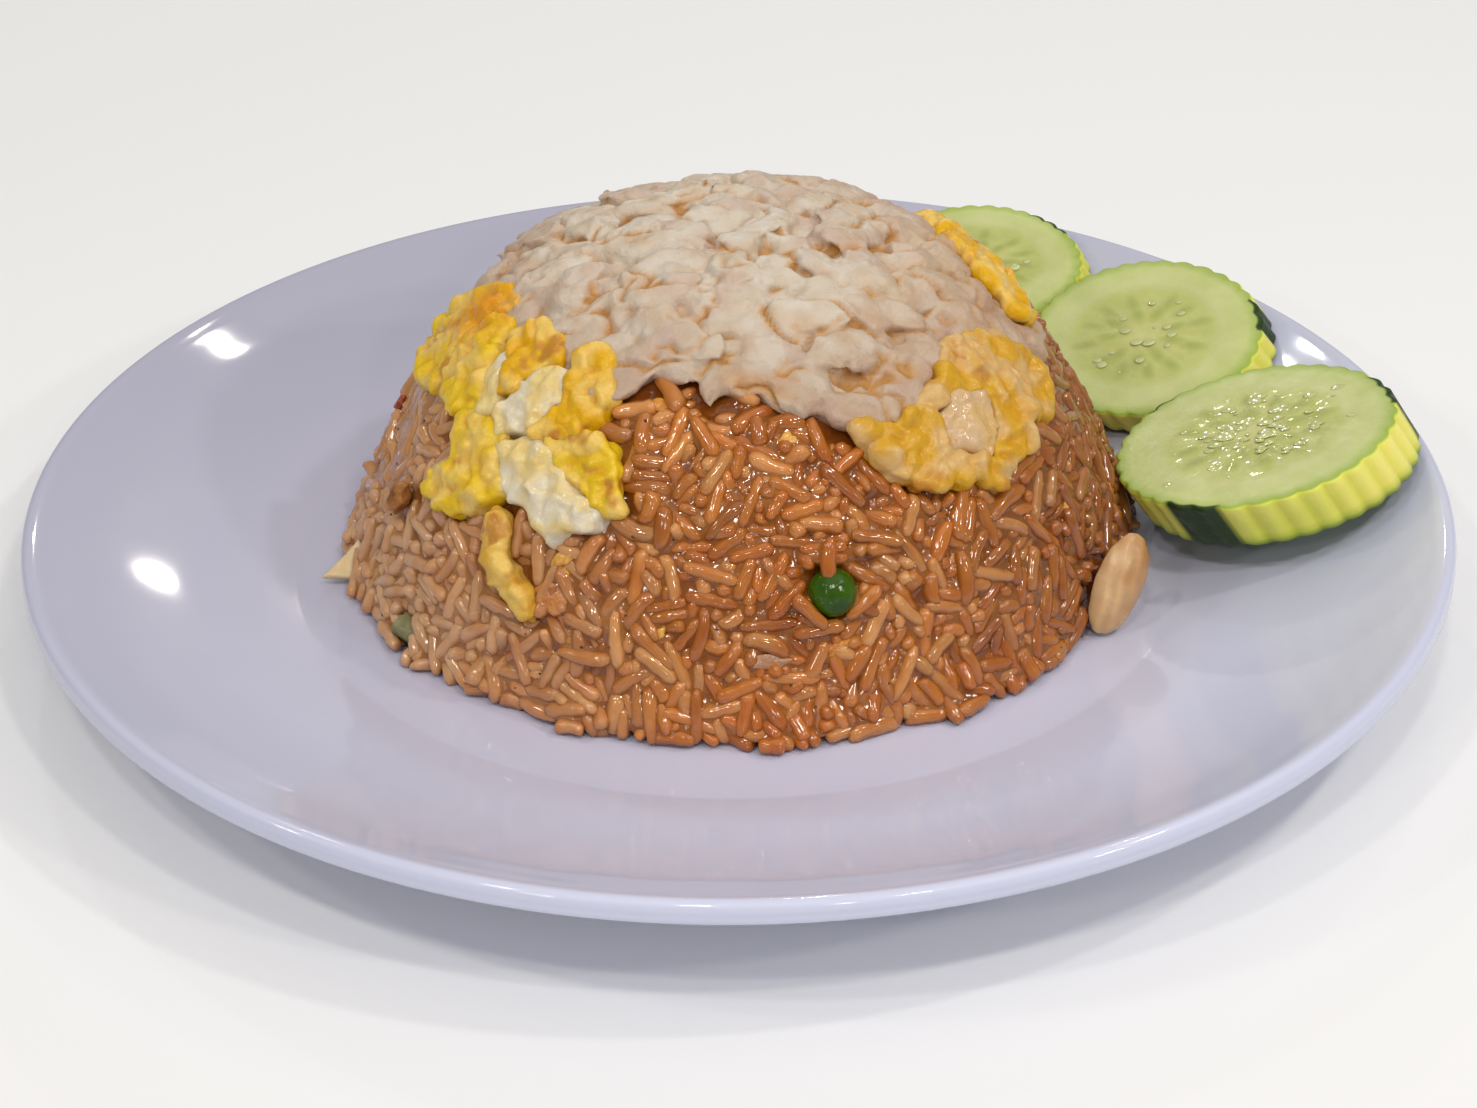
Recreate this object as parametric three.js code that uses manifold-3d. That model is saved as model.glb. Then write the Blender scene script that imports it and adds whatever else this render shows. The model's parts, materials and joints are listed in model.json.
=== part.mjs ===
// Crab fried rice, moulded in a bowl and turned out onto a round coupe plate. Flaked crab meat and
// scrambled egg are pressed into the top of the mound, three fluted cucumber slices lean on the back
// right of the plate, and a pea, an onion petal and small scraps show in and around the rice.
// Units are millimetres, +Z is up, and the origin is the centre of the plate's foot.
import * as THREE from 'three';
import { mergeVertices } from 'three/addons/utils/BufferGeometryUtils.js';
import Module from 'manifold-3d';

const wasm = await Module();
wasm.setup();

// Driving dimensions
const PLATE_RADIUS = 127;
const PLATE_HEIGHT = 22.6;
const WELL_RADIUS = 80;
const WELL_FLOOR = 6;
const FOOT_RADIUS = 72;
const MOUND_RADIUS = 72.5;
const MOUND_HEIGHT = 60;
const MOUND_CENTRE = new THREE.Vector2(0.7, 5.5);
const RICE_INSET = 2.2;
const CRAB_THICKNESS = 4.8;
const GRAIN_LENGTH = 8.8;
const GRAIN_WIDTH = 2.7;
const GRAIN_COUNT = 226;
const PEA_DIAMETER = 8.2;
const GAP = 0.3;

const COLOURS = {
  plate: [0xdcd8e4, 0.18],
  rice: [0xb07c50, 0.45],
  crab: [0xdcc9b4, 0.6],
  egg: [0xe3b53c, 0.5],
  eggWhite: [0xe9e2cc, 0.45],
  cucumber: [0xb9c97c, 0.3],
  pea: [0x2f8a24, 0.3],
  onion: [0xd9b48c, 0.35],
  scallion: [0x7f8566, 0.5],
  garlic: [0x9c6428, 0.5],
};

// Small tools for solids

// A seeded stream of numbers between 0 and 1.
function seeded(seed) {
  let state = seed;
  return () => {
    state = (state * 1664525 + 1013904223) % 4294967296;
    return state / 4294967296;
  };
}

// The closed solid that a geometry bounds, with its shared vertices merged.
function solidOf(geometry) {
  const bare = geometry.clone();
  bare.deleteAttribute('normal');
  bare.deleteAttribute('uv');
  const merged = mergeVertices(bare, 1e-4);
  return new wasm.Manifold(new wasm.Mesh({
    numProp: 3,
    vertProperties: merged.attributes.position.array,
    triVerts: new Uint32Array(merged.index.array),
  }));
}

function geometryOf(solid) {
  const mesh = solid.getMesh();
  const geometry = new THREE.BufferGeometry();
  geometry.setAttribute('position', new THREE.BufferAttribute(mesh.vertProperties, 3));
  geometry.setIndex(new THREE.BufferAttribute(mesh.triVerts, 1));
  geometry.computeVertexNormals();
  return geometry;
}

function joined(solids) {
  return solids.reduce((whole, solid) => whole.add(solid));
}

function cutBy(solid, cutters) {
  return cutters.reduce((rest, cutter) => rest.subtract(cutter), solid);
}

// The biggest body of a solid, so that scraps left by a cut are dropped.
function biggest(solid) {
  const bodies = solid.decompose();
  return bodies.reduce((best, body) => (body.volume() > best.volume() ? body : best));
}

function radians(degrees) {
  return THREE.MathUtils.degToRad(degrees);
}

const group = new THREE.Group();

function addMesh(name, geometry, look) {
  const [color, roughness] = COLOURS[look];
  const material = new THREE.MeshStandardMaterial({ color, roughness, metalness: 0 });
  const mesh = new THREE.Mesh(geometry, material);
  mesh.name = name;
  group.add(mesh);
  return mesh;
}

// The bowl that shaped the mound: its radius at a height above the plate's well, and a frame of
// reference on its surface at a compass angle and a height.
function bowlRadius(height) {
  const share = THREE.MathUtils.clamp(height / MOUND_HEIGHT, 0, 1);
  return MOUND_RADIUS * (1 - share ** 1.3) ** 0.33;
}

function bowlNormal(height) {
  const step = 0.2;
  const low = Math.max(height - step, 0);
  const high = Math.min(height + step, MOUND_HEIGHT - 0.01);
  return new THREE.Vector2(high - low, bowlRadius(low) - bowlRadius(high)).normalize();
}

function surfaceFrame(angle, height, out = 0) {
  const [across, up] = bowlNormal(height).toArray();
  const turn = radians(angle);
  const outward = new THREE.Vector3(Math.cos(turn) * across, Math.sin(turn) * across, up);
  const sideways = new THREE.Vector3(-Math.sin(turn), Math.cos(turn), 0);
  const uphill = new THREE.Vector3().crossVectors(outward, sideways);
  const radius = bowlRadius(height);
  const point = new THREE.Vector3(
    MOUND_CENTRE.x + radius * Math.cos(turn),
    MOUND_CENTRE.y + radius * Math.sin(turn),
    WELL_FLOOR + height,
  ).addScaledVector(outward, out);
  const frame = new THREE.Matrix4().makeBasis(sideways, uphill, outward);
  return frame.setPosition(point);
}

// Heights down the bowl, close together where it turns over into its flat top.
function bowlHeights(count) {
  const heights = [];
  for (let i = 0; i <= count; i += 1) {
    heights.push((MOUND_HEIGHT - 0.02) * (1 - (1 - i / count) ** 2.2));
  }
  return heights;
}

// A turned form of the bowl, moved inward by the depth that inset gives at each height.
function bowlGeometry(inset, rings, sides, bottom) {
  const profile = [new THREE.Vector2(0, WELL_FLOOR + bottom)];
  for (const height of bowlHeights(rings)) {
    const normal = bowlNormal(height);
    const depth = inset(height);
    const radius = bowlRadius(height) - depth * normal.x;
    const level = Math.max(height - depth * normal.y, bottom);
    profile.push(new THREE.Vector2(radius, WELL_FLOOR + level));
  }
  const top = profile[profile.length - 1];
  profile.push(new THREE.Vector2(0, top.y));
  const body = new THREE.LatheGeometry(profile, sides);
  body.rotateX(Math.PI / 2);
  body.translate(MOUND_CENTRE.x, MOUND_CENTRE.y, 0);
  return body;
}

function bowlBody(...form) {
  return solidOf(bowlGeometry(...form));
}

// A soft uneven lump: a ball of the given width, length and thickness whose points are pushed in
// and out a little.
function lumpGeometry(size, seed) {
  const random = seeded(seed);
  const ball = new THREE.DodecahedronGeometry(0.54);
  ball.deleteAttribute('normal');
  ball.deleteAttribute('uv');
  const merged = mergeVertices(ball, 1e-4);
  const places = merged.attributes.position;
  for (let i = 0; i < places.count; i += 1) {
    const push = 0.86 + 0.28 * random();
    places.setXYZ(i, places.getX(i) * push, places.getY(i) * push, places.getZ(i) * push);
  }
  merged.scale(size[0], size[1], size[2]);
  return merged;
}

// A lump lying on the mound, grown by a margin where it is a cutter.
function lumpOnMound({ angle, height, size, out }, grow) {
  const lump = lumpGeometry(size.map((length) => length + 2 * grow), 300);
  lump.applyMatrix4(surfaceFrame(angle, height, out));
  return solidOf(lump);
}

// Everything above the plate's well.
const aboveWell = (() => {
  const box = new THREE.BoxGeometry(300, 300, 120);
  box.translate(0, 0, WELL_FLOOR + GAP + 60);
  return solidOf(box);
})();

// Plate: one turned body, with a foot ring, a flat well, a slope and a rounded lip.
const PLATE_SIDES = 44;
const plateProfile = [
  [0, 2],
  [FOOT_RADIUS - 3, 2],
  [FOOT_RADIUS - 2, 0],
  [FOOT_RADIUS + 2, 0],
  [FOOT_RADIUS + 4, 2.5],
  [100, 8.3],
  [118, 14.5],
  [125.2, 18],
  [PLATE_RADIUS, 19.4],
  [PLATE_RADIUS, 21.4],
  [126, PLATE_HEIGHT],
  [124.6, 22.3],
  [122, 20.8],
  [112, 15.8],
  [100, 11.3],
  [88, 8.1],
  [WELL_RADIUS, WELL_FLOOR],
  [0, WELL_FLOOR],
];
const plateGeometry = new THREE.LatheGeometry(
  plateProfile.map(([radius, level]) => new THREE.Vector2(radius, level)),
  PLATE_SIDES,
);
plateGeometry.rotateX(Math.PI / 2);
const plateSolid = solidOf(plateGeometry);
addMesh('plate', geometryOf(plateSolid), 'plate');

// Core of the rice: the bowl's form, lower by the crab's thickness under the top.
function coreInset(height) {
  return THREE.MathUtils.lerp(RICE_INSET, CRAB_THICKNESS, THREE.MathUtils.smoothstep(height, 40, 54));
}
const riceCore = bowlBody(coreInset, 8, 36, GAP);
const coreCutter = bowlBody((height) => coreInset(height) - GAP, 8, 36, 0);

// Crab meat: a slab that fills the bowl's bottom, with a ragged edge, and flakes on it. The edge's
// distance from the mound's axis at each compass angle follows how far the crab reaches.
const CRAB_EDGE = [
  [-180, 47], [-165, 44], [-150, 43], [-138, 45], [-126, 42], [-117, 46], [-108, 41], [-98, 38],
  [-88, 42], [-78, 46], [-66, 51], [-58, 50], [-46, 45], [-30, 46], [-16, 54], [-4, 51],
  [12, 45], [30, 42], [50, 45], [70, 48], [95, 46], [120, 49], [145, 46], [165, 48],
];

function crabEdgePoints(grow) {
  const points = [];
  CRAB_EDGE.forEach(([angle, reach], i) => {
    const [nextAngle, nextReach] = CRAB_EDGE[(i + 1) % CRAB_EDGE.length];
    const span = ((nextAngle - angle + 360) % 360) / 2;
    const ragged = 1.1 * Math.sin(i * 2.4);
    for (const [place, radius] of [[angle, reach], [angle + span, (reach + nextReach) / 2 + ragged]]) {
      const turn = radians(place);
      points.push(new THREE.Vector2(
        MOUND_CENTRE.x + (radius + grow) * Math.cos(turn),
        MOUND_CENTRE.y + (radius + grow) * Math.sin(turn),
      ));
    }
  });
  return points;
}

const FLAKE_COUNT = 18;
const FLAKE_SIZE = [13, 7.5, 3.6];

function crabFlakes(grow) {
  const random = seeded(7);
  const flakes = [];
  for (let i = 0; i < FLAKE_COUNT; i += 1) {
    const reach = 45 * Math.sqrt((i + 0.5) / FLAKE_COUNT);
    const turn = i * 2.39996;
    const size = FLAKE_SIZE.map((length) => length * (0.8 + 0.5 * random()) + 2 * grow);
    const flake = lumpGeometry(size, 40 + i);
    flake.rotateZ(random() * Math.PI);
    const height = heightAtRadius(reach);
    flake.applyMatrix4(surfaceFrame(THREE.MathUtils.radToDeg(turn), height, -0.9));
    flakes.push(solidOf(flake));
  }
  return flakes;
}

// The height at which the bowl has a given radius.
function heightAtRadius(radius) {
  const share = (1 - (radius / MOUND_RADIUS) ** (1 / 0.33)) ** (1 / 1.3);
  return Math.min(share * MOUND_HEIGHT, MOUND_HEIGHT - 0.3);
}

function crabMeat(grow) {
  const edge = new THREE.ExtrudeGeometry(new THREE.Shape(crabEdgePoints(grow)), {
    depth: 80,
    bevelEnabled: false,
  });
  const slab = bowlBody(() => 0.6 - grow, 6, 30, 20).intersect(solidOf(edge));
  return joined([slab, ...crabFlakes(grow)]);
}
const crabCutter = crabMeat(GAP);
addMesh('crab_topping', geometryOf(biggest(crabMeat(0).subtract(coreCutter))), 'crab');

// Scrambled egg: soft patches pressed into the mound's side, cut from one uneven skin. An outline is
// a list of compass angles and heights above the well. A patch is cut back from those before it.
const EGG_RISE = 1.2;
const EGG_PATCHES = [
  {
    name: 'egg_white_left_upper',
    look: 'eggWhite',
    outline: [[-134, 49], [-129, 49.5], [-127, 46], [-130, 41.5], [-137, 39], [-140, 41], [-138, 46]],
  },
  {
    name: 'egg_white_left_sliver',
    look: 'eggWhite',
    outline: [[-148, 48.5], [-144, 46.5], [-140.5, 41], [-144, 40], [-148.5, 44.5]],
  },
  {
    name: 'egg_white_left_lower',
    look: 'eggWhite',
    outline: [
      [-136, 38], [-129, 41], [-124, 39], [-119, 36.5], [-112, 33.5], [-114, 30.5], [-118, 30.5],
      [-120, 27.5], [-125, 31.5], [-131, 33], [-133, 36],
    ],
  },
  {
    name: 'egg_white_right',
    look: 'eggWhite',
    outline: [[-46, 45], [-38, 43], [-40, 38.5], [-45, 35.5], [-52, 39.5], [-51, 43]],
  },
  {
    name: 'egg_left_shoulder',
    look: 'egg',
    outline: [
      [-181, 47.5], [-170, 52], [-158, 52], [-164, 46.5], [-160, 41.5], [-161, 38], [-170, 35.5],
      [-177, 37.5], [-182, 43],
    ],
  },
  {
    name: 'egg_left_edge',
    look: 'egg',
    outline: [
      [-155, 51], [-165, 47], [-161, 41.5], [-158, 38.5], [-153, 37.5], [-147, 39.5], [-144, 42],
      [-149, 46], [-152, 48],
    ],
  },
  {
    name: 'egg_left_top',
    look: 'egg',
    outline: [[-151, 49.5], [-146, 52.5], [-136, 52], [-132, 49], [-138, 45.5], [-142, 43.5], [-146, 47.5]],
  },
  {
    name: 'egg_left_upper',
    look: 'egg',
    outline: [
      [-130, 51], [-126, 52.5], [-119, 50.5], [-116, 48], [-119, 44], [-123, 41.5], [-130, 41],
      [-127, 46],
    ],
  },
  {
    name: 'egg_left_lower',
    look: 'egg',
    outline: [
      [-149, 38], [-144, 41.5], [-136, 39.5], [-134, 36], [-130, 33], [-134, 29], [-140, 26],
      [-148, 26.5], [-148, 30], [-144, 32], [-146, 35],
    ],
  },
  {
    name: 'egg_left_corner',
    look: 'egg',
    outline: [[-127, 41], [-120, 43.5], [-114, 42.5], [-111, 38], [-109, 34], [-115, 32.5], [-122, 36]],
  },
  {
    name: 'egg_right',
    look: 'egg',
    outline: [
      [-28, 49], [-21, 47], [-18, 38.5], [-24, 34.5], [-31, 37], [-35, 33.5], [-40, 33], [-45, 30.5],
      [-49, 34], [-56, 34], [-64, 37.5], [-70, 45], [-61, 44], [-54, 45.5], [-47, 47], [-40, 50],
    ],
  },
  {
    name: 'egg_back_right',
    look: 'egg',
    outline: [[32, 54], [12, 53.5], [0, 51], [-8, 46], [-4, 42], [6, 45.5], [18, 48], [30, 49]],
  },
  {
    name: 'egg_strand',
    look: 'egg',
    outline: [[-132, 29.5], [-129, 29.5], [-127.5, 24], [-121, 18.5], [-121, 15.5], [-126.5, 19], [-131, 24]],
  },
];

// The uneven outer skin that the patches are cut from.
const eggSkin = (() => {
  const skin = bowlGeometry(() => -EGG_RISE, 15, 80, 10);
  const places = skin.attributes.position;
  for (let i = 0; i < places.count; i += 1) {
    const [x, y, z] = [places.getX(i), places.getY(i), places.getZ(i)];
    const rise = Math.sin(0.63 * x + 0.4 * z) * Math.sin(0.71 * y - 0.5 * z) + 0.5 * Math.sin(0.9 * z);
    const share = (0.8 * rise) / MOUND_RADIUS;
    places.setX(i, x + share * (x - MOUND_CENTRE.x));
    places.setY(i, y + share * (y - MOUND_CENTRE.y));
  }
  return solidOf(skin);
})();

// The outline as a prism through the mound's surface, grown by a margin where it is a cutter.
function patchPrism(outline, grow) {
  const [angleSum, heightSum] = outline.reduce((sum, place) => [sum[0] + place[0], sum[1] + place[1]]);
  const frame = surfaceFrame(angleSum / outline.length, heightSum / outline.length);
  const flatten = frame.clone().invert();
  const flat = outline.map(([angle, height]) => {
    const place = new THREE.Vector3().setFromMatrixPosition(surfaceFrame(angle, height));
    place.applyMatrix4(flatten);
    return new THREE.Vector2(place.x, place.y);
  });
  const inward = Math.sign(THREE.ShapeUtils.area(flat));
  const points = flat.map((place, i) => {
    const arriving = place.clone().sub(flat[(i + flat.length - 1) % flat.length]).normalize();
    const leaving = flat[(i + 1) % flat.length].clone().sub(place).normalize();
    const edge = arriving.clone().add(leaving).normalize();
    const reach = (inward * grow) / Math.max(edge.dot(arriving), 0.4);
    return new THREE.Vector2(place.x + reach * edge.y, place.y - reach * edge.x);
  });
  const prism = new THREE.ExtrudeGeometry(new THREE.Shape(points), { depth: 30, bevelEnabled: false });
  prism.translate(0, 0, -15);
  prism.applyMatrix4(frame);
  return solidOf(prism);
}

// A brown chip of fried garlic in the mound's left side.
const GARLIC_CHIP = { angle: -154, height: 22.5, size: [5.2, 6, 4], out: 0.8 };

const PEA_PLACE = { angle: -77, height: 23.6, out: -0.9 };

function peaBall(grow) {
  const ball = new THREE.SphereGeometry(PEA_DIAMETER / 2 + grow, 12, 8);
  ball.applyMatrix4(surfaceFrame(PEA_PLACE.angle, PEA_PLACE.height, PEA_PLACE.out));
  return solidOf(ball);
}

const toppingCutters = [crabCutter];
for (const { name, look, outline } of EGG_PATCHES) {
  const patch = cutBy(eggSkin.intersect(patchPrism(outline, 0)), [coreCutter, ...toppingCutters]);
  addMesh(name, geometryOf(biggest(patch)), look);
  toppingCutters.push(patchPrism(outline, GAP));
}
addMesh('fried_garlic_chip', geometryOf(biggest(lumpOnMound(GARLIC_CHIP, 0).subtract(coreCutter))), 'garlic');
toppingCutters.push(lumpOnMound(GARLIC_CHIP, GAP));
addMesh('pea', geometryOf(peaBall(0)), 'pea');
toppingCutters.push(peaBall(GAP));

// Scraps at the foot of the mound: an onion petal leaning on the rice, a torn piece of egg white and
// a cut ring of scallion.
function onionPetal(grow) {
  const petal = new THREE.SphereGeometry(1, 14, 10);
  petal.scale(4.9 + grow, 9.4 + grow, 2.3 + grow);
  const places = petal.attributes.position;
  for (let i = 0; i < places.count; i += 1) {
    const bend = 0.045 * places.getX(i) ** 2 + 0.012 * places.getY(i) ** 2;
    places.setZ(i, places.getZ(i) - bend);
  }
  const along = new THREE.Vector3(0.37, 0.42, 0.83).normalize();
  const across = along.clone().cross(new THREE.Vector3(0.35, -0.9, 0.25)).normalize();
  const facing = new THREE.Vector3().crossVectors(across, along);
  petal.applyMatrix4(new THREE.Matrix4().makeBasis(across, along, facing));
  petal.translate(MOUND_CENTRE.x + 65.2, MOUND_CENTRE.y - 38, WELL_FLOOR + 8.9);
  return solidOf(petal).intersect(aboveWell);
}

function eggWhiteScrap(grow) {
  const leaf = new THREE.Shape();
  leaf.moveTo(-5.4, -1.2);
  leaf.quadraticCurveTo(-1.4, 2, 1, 5);
  leaf.quadraticCurveTo(3.4, 1.4, 2.6, -2.8);
  leaf.quadraticCurveTo(-0.8, -1, -5.4, -1.2);
  const sheet = new THREE.ExtrudeGeometry(leaf, {
    depth: 0.9 + 2 * grow,
    bevelEnabled: true,
    bevelThickness: 0.35,
    bevelSize: 0.35 + grow,
    bevelSegments: 1,
    curveSegments: 4,
  });
  sheet.translate(0, 0, -0.45 - grow);
  sheet.rotateX(radians(40));
  sheet.rotateZ(radians(6));
  sheet.translate(MOUND_CENTRE.x - 70, MOUND_CENTRE.y - 19.6, WELL_FLOOR + 2.8);
  return solidOf(sheet).intersect(aboveWell);
}

function scallionRing(grow) {
  const ring = new THREE.LatheGeometry([
    new THREE.Vector2(1.3 - grow, -2.2 - grow),
    new THREE.Vector2(3 + grow, -2.2 - grow),
    new THREE.Vector2(3.1 + grow, 2.2 + grow),
    new THREE.Vector2(1.3 - grow, 2.2 + grow),
    new THREE.Vector2(1.3 - grow, -2.2 - grow),
  ], 14);
  ring.scale(1, 1, 0.72);
  ring.rotateZ(radians(55));
  ring.rotateY(radians(20));
  ring.translate(MOUND_CENTRE.x - 57.2, MOUND_CENTRE.y - 41, WELL_FLOOR + 3.6);
  return solidOf(ring).intersect(aboveWell);
}

for (const [name, look, shape] of [
  ['onion_petal', 'onion', onionPetal],
  ['egg_white_scrap', 'eggWhite', eggWhiteScrap],
  ['scallion_ring', 'scallion', scallionRing],
]) {
  addMesh(name, geometryOf(biggest(shape(0).subtract(coreCutter))), look);
  toppingCutters.push(shape(GAP));
}

// Rice: the core with whole grains half sunk in its surface, spread evenly by the golden angle. A
// grain that would meet a topping is left out.
function grainGeometry(random) {
  const length = GRAIN_LENGTH * (0.85 + 0.3 * random());
  const radius = (GRAIN_WIDTH / 2) * (0.9 + 0.2 * random());
  const profile = [[0, -0.5], [0.95, -0.28], [0.95, 0.28], [0, 0.5]].map(
    ([across, along]) => new THREE.Vector2(across * radius, along * length),
  );
  return new THREE.LatheGeometry(profile, 5);
}

// Heights that share the bowl's surface into bands of equal area, from the base up.
function evenHeights(count) {
  const steps = 400;
  const areas = [0];
  for (let i = 1; i <= steps; i += 1) {
    const low = (MOUND_HEIGHT * (i - 1)) / steps;
    const high = (MOUND_HEIGHT * i) / steps;
    const slant = Math.hypot(high - low, bowlRadius(high) - bowlRadius(low));
    areas.push(areas[i - 1] + slant * (bowlRadius(low) + bowlRadius(high)));
  }
  const heights = [];
  for (let i = 0, step = 0; i < count; i += 1) {
    const wanted = (areas[steps] * (i + 0.5)) / count;
    while (areas[step + 1] < wanted) {
      step += 1;
    }
    const part = (wanted - areas[step]) / (areas[step + 1] - areas[step]);
    heights.push((MOUND_HEIGHT * (step + part)) / steps);
  }
  return heights;
}

const GRAIN_TOP = 50;
const toppingsTogether = joined(toppingCutters);
const riceRandom = seeded(11);
const riceParts = [riceCore.subtract(peaBall(GAP))];
evenHeights(GRAIN_COUNT).forEach((height, i) => {
  const grain = grainGeometry(riceRandom);
  const turn = 180 * riceRandom();
  const tip = 14 * (riceRandom() - 0.5);
  grain.rotateX(radians(tip));
  grain.rotateZ(radians(turn));
  const lift = -RICE_INSET + 0.75 * riceRandom();
  if (height > GRAIN_TOP) {
    return;
  }
  grain.applyMatrix4(surfaceFrame((i * 137.508) % 360, height, lift));
  const solid = solidOf(grain);
  if (solid.intersect(toppingsTogether).isEmpty()) {
    riceParts.push(solid);
  }
});
const rice = joined(riceParts).intersect(aboveWell);
addMesh('rice_mound', geometryOf(biggest(rice)), 'rice');

// Cucumber slices: a slanting cut through a cucumber peeled in stripes leaves an oval with a fluted
// rim. Each leans on the plate's slope. The slant moves the lower face along the cucumber's axis.
const FLUTES = 34;
const FLUTE_DEPTH = 0.9;
const SLICES = [
  {
    name: 'cucumber_slice_back',
    centre: [52, 89.3, 21.5],
    tilt: [-7.7, -16.5],
    halfLength: 22.5,
    halfWidth: 18.5,
    turn: -26,
    thickness: 5.5,
    slant: [2.2, 0.5],
  },
  {
    name: 'cucumber_slice_middle',
    centre: [82, 53.3, 21],
    tilt: [-16, -13],
    halfLength: 24.8,
    halfWidth: 22.7,
    turn: -57,
    thickness: 7,
    slant: [2.4, 1],
  },
  {
    name: 'cucumber_slice_front',
    centre: [93.5, -0.5, 27.3],
    tilt: [-16.2, 3.4],
    halfLength: 26.9,
    halfWidth: 25.5,
    turn: 66,
    thickness: 11.2,
    slant: [3.6, 4.3],
  },
];

function sliceGeometry({ halfLength, halfWidth, turn, thickness, slant }) {
  const outline = [];
  const steps = FLUTES * 2;
  for (let i = 0; i < steps; i += 1) {
    const around = (2 * Math.PI * i) / steps;
    const flute = 1 - (FLUTE_DEPTH / halfLength) * (i % 2);
    outline.push(new THREE.Vector2(
      halfLength * flute * Math.cos(around),
      halfWidth * flute * Math.sin(around),
    ));
  }
  const slice = new THREE.ExtrudeGeometry(new THREE.Shape(outline), {
    depth: thickness,
    bevelEnabled: false,
  });
  slice.translate(0, 0, -thickness);
  slice.rotateZ(radians(turn));
  const places = slice.attributes.position;
  for (let i = 0; i < places.count; i += 1) {
    const down = -places.getZ(i) / thickness;
    places.setX(i, places.getX(i) + slant[0] * down);
    places.setY(i, places.getY(i) + slant[1] * down);
  }
  return slice;
}

for (const slice of SLICES) {
  const up = new THREE.Vector3(Math.sin(radians(slice.tilt[0])), Math.sin(radians(slice.tilt[1])), 0);
  up.z = Math.sqrt(1 - up.x ** 2 - up.y ** 2);
  const along = new THREE.Vector3(0, 1, 0).cross(up).normalize();
  const across = new THREE.Vector3().crossVectors(up, along);
  const place = new THREE.Matrix4().makeBasis(along, across, up);
  place.setPosition(...slice.centre);
  const geometry = sliceGeometry(slice).applyMatrix4(place);
  addMesh(slice.name, geometry, 'cucumber');
}

export default group;
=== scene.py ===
"""Crab fried rice, moulded in a bowl and turned out onto a white melamine plate, with cucumber."""

import json
import math

import bmesh
import bpy
import numpy as np
from mathutils import Matrix, Vector, noise
from mathutils.bvhtree import BVHTree
from mathutils.kdtree import KDTree

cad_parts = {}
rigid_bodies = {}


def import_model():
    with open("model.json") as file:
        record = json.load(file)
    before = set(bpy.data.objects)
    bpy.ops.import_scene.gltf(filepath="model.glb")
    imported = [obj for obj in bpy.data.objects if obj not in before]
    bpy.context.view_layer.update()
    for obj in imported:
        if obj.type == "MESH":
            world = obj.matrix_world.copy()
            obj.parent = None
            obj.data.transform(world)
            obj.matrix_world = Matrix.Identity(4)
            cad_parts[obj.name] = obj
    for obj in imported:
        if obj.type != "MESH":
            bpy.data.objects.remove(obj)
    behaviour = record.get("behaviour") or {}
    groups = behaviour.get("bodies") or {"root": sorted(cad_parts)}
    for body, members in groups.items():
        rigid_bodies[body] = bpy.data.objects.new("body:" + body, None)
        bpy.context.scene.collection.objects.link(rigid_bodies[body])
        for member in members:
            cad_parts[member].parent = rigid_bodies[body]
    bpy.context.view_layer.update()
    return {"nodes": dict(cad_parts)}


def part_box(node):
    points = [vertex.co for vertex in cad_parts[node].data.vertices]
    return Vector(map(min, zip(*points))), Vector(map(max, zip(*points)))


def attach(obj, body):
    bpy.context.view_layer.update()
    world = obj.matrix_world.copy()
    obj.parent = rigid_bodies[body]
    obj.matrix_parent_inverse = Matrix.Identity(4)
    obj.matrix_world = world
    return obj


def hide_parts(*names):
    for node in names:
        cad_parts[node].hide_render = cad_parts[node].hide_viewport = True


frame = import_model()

# Camera: a normal lens at a seated diner's eye height, aimed at the middle of the plate and rolled a
# little to the left. Lengths in millimetres are made metres by MM.
MM = 0.001
CAMERA_PLACE = Vector((0, -383.8, 233.25)) * MM
CAMERA_TARGET = Vector((0, 4.2, 0)) * MM
CAMERA_ROLL = math.radians(-0.6)
LENS = 58.5
SENSOR_WIDTH = 36
NEAREST_SEEN = 0.01


def add_object(name, data):
    thing = bpy.data.objects.new(name, data)
    bpy.context.collection.objects.link(thing)
    return thing


def aimed(place):
    """The matrix of a thing at a place that points at the middle of the plate."""
    aim = (CAMERA_TARGET - place).to_track_quat("-Z", "Y").to_matrix().to_4x4()
    return Matrix.Translation(place) @ aim


def add_camera():
    data = bpy.data.cameras.new("camera")
    data.lens = LENS
    data.sensor_width = SENSOR_WIDTH
    data.clip_start = NEAREST_SEEN
    camera = add_object("camera", data)
    camera.matrix_world = aimed(CAMERA_PLACE) @ Matrix.Rotation(CAMERA_ROLL, 4, "Z")
    bpy.context.scene.camera = camera


add_camera()

# Studio: a pale floor, an even pale surround, a large soft light overhead, and small ceiling lamps in
# front of the dish and behind it, which the plate, the wet cucumber and the oily grains mirror.
FLOOR_SIZE = 6
FLOOR_NEAR = (0.77, 0.785, 0.81)
FLOOR_FAR = (0.97, 0.985, 1.0)
FLOOR_FADE = (-0.3, 0.6)
FLOOR_GLOW = 0.09
SURROUND = (1.0, 0.985, 0.97)
SURROUND_STRENGTH = 0.26
# Lights overhead and behind: name, place, size, power, colour.
LIGHTS = [
    ("soft_light", (0.3, 0.1, 1.6), 2.0, 5.0, (1.0, 0.97, 0.94)),
    ("back_low", (0.04, 1.33, 0.64), 0.035, 0.9, (1.0, 0.93, 0.84)),
    ("back_right", (0.376, 0.93, 1.115), 0.03, 0.6, (1.0, 0.93, 0.84)),
    ("back_left", (-0.36, 0.94, 0.97), 0.05, 0.8, (0.92, 0.96, 1.0)),
]
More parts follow.
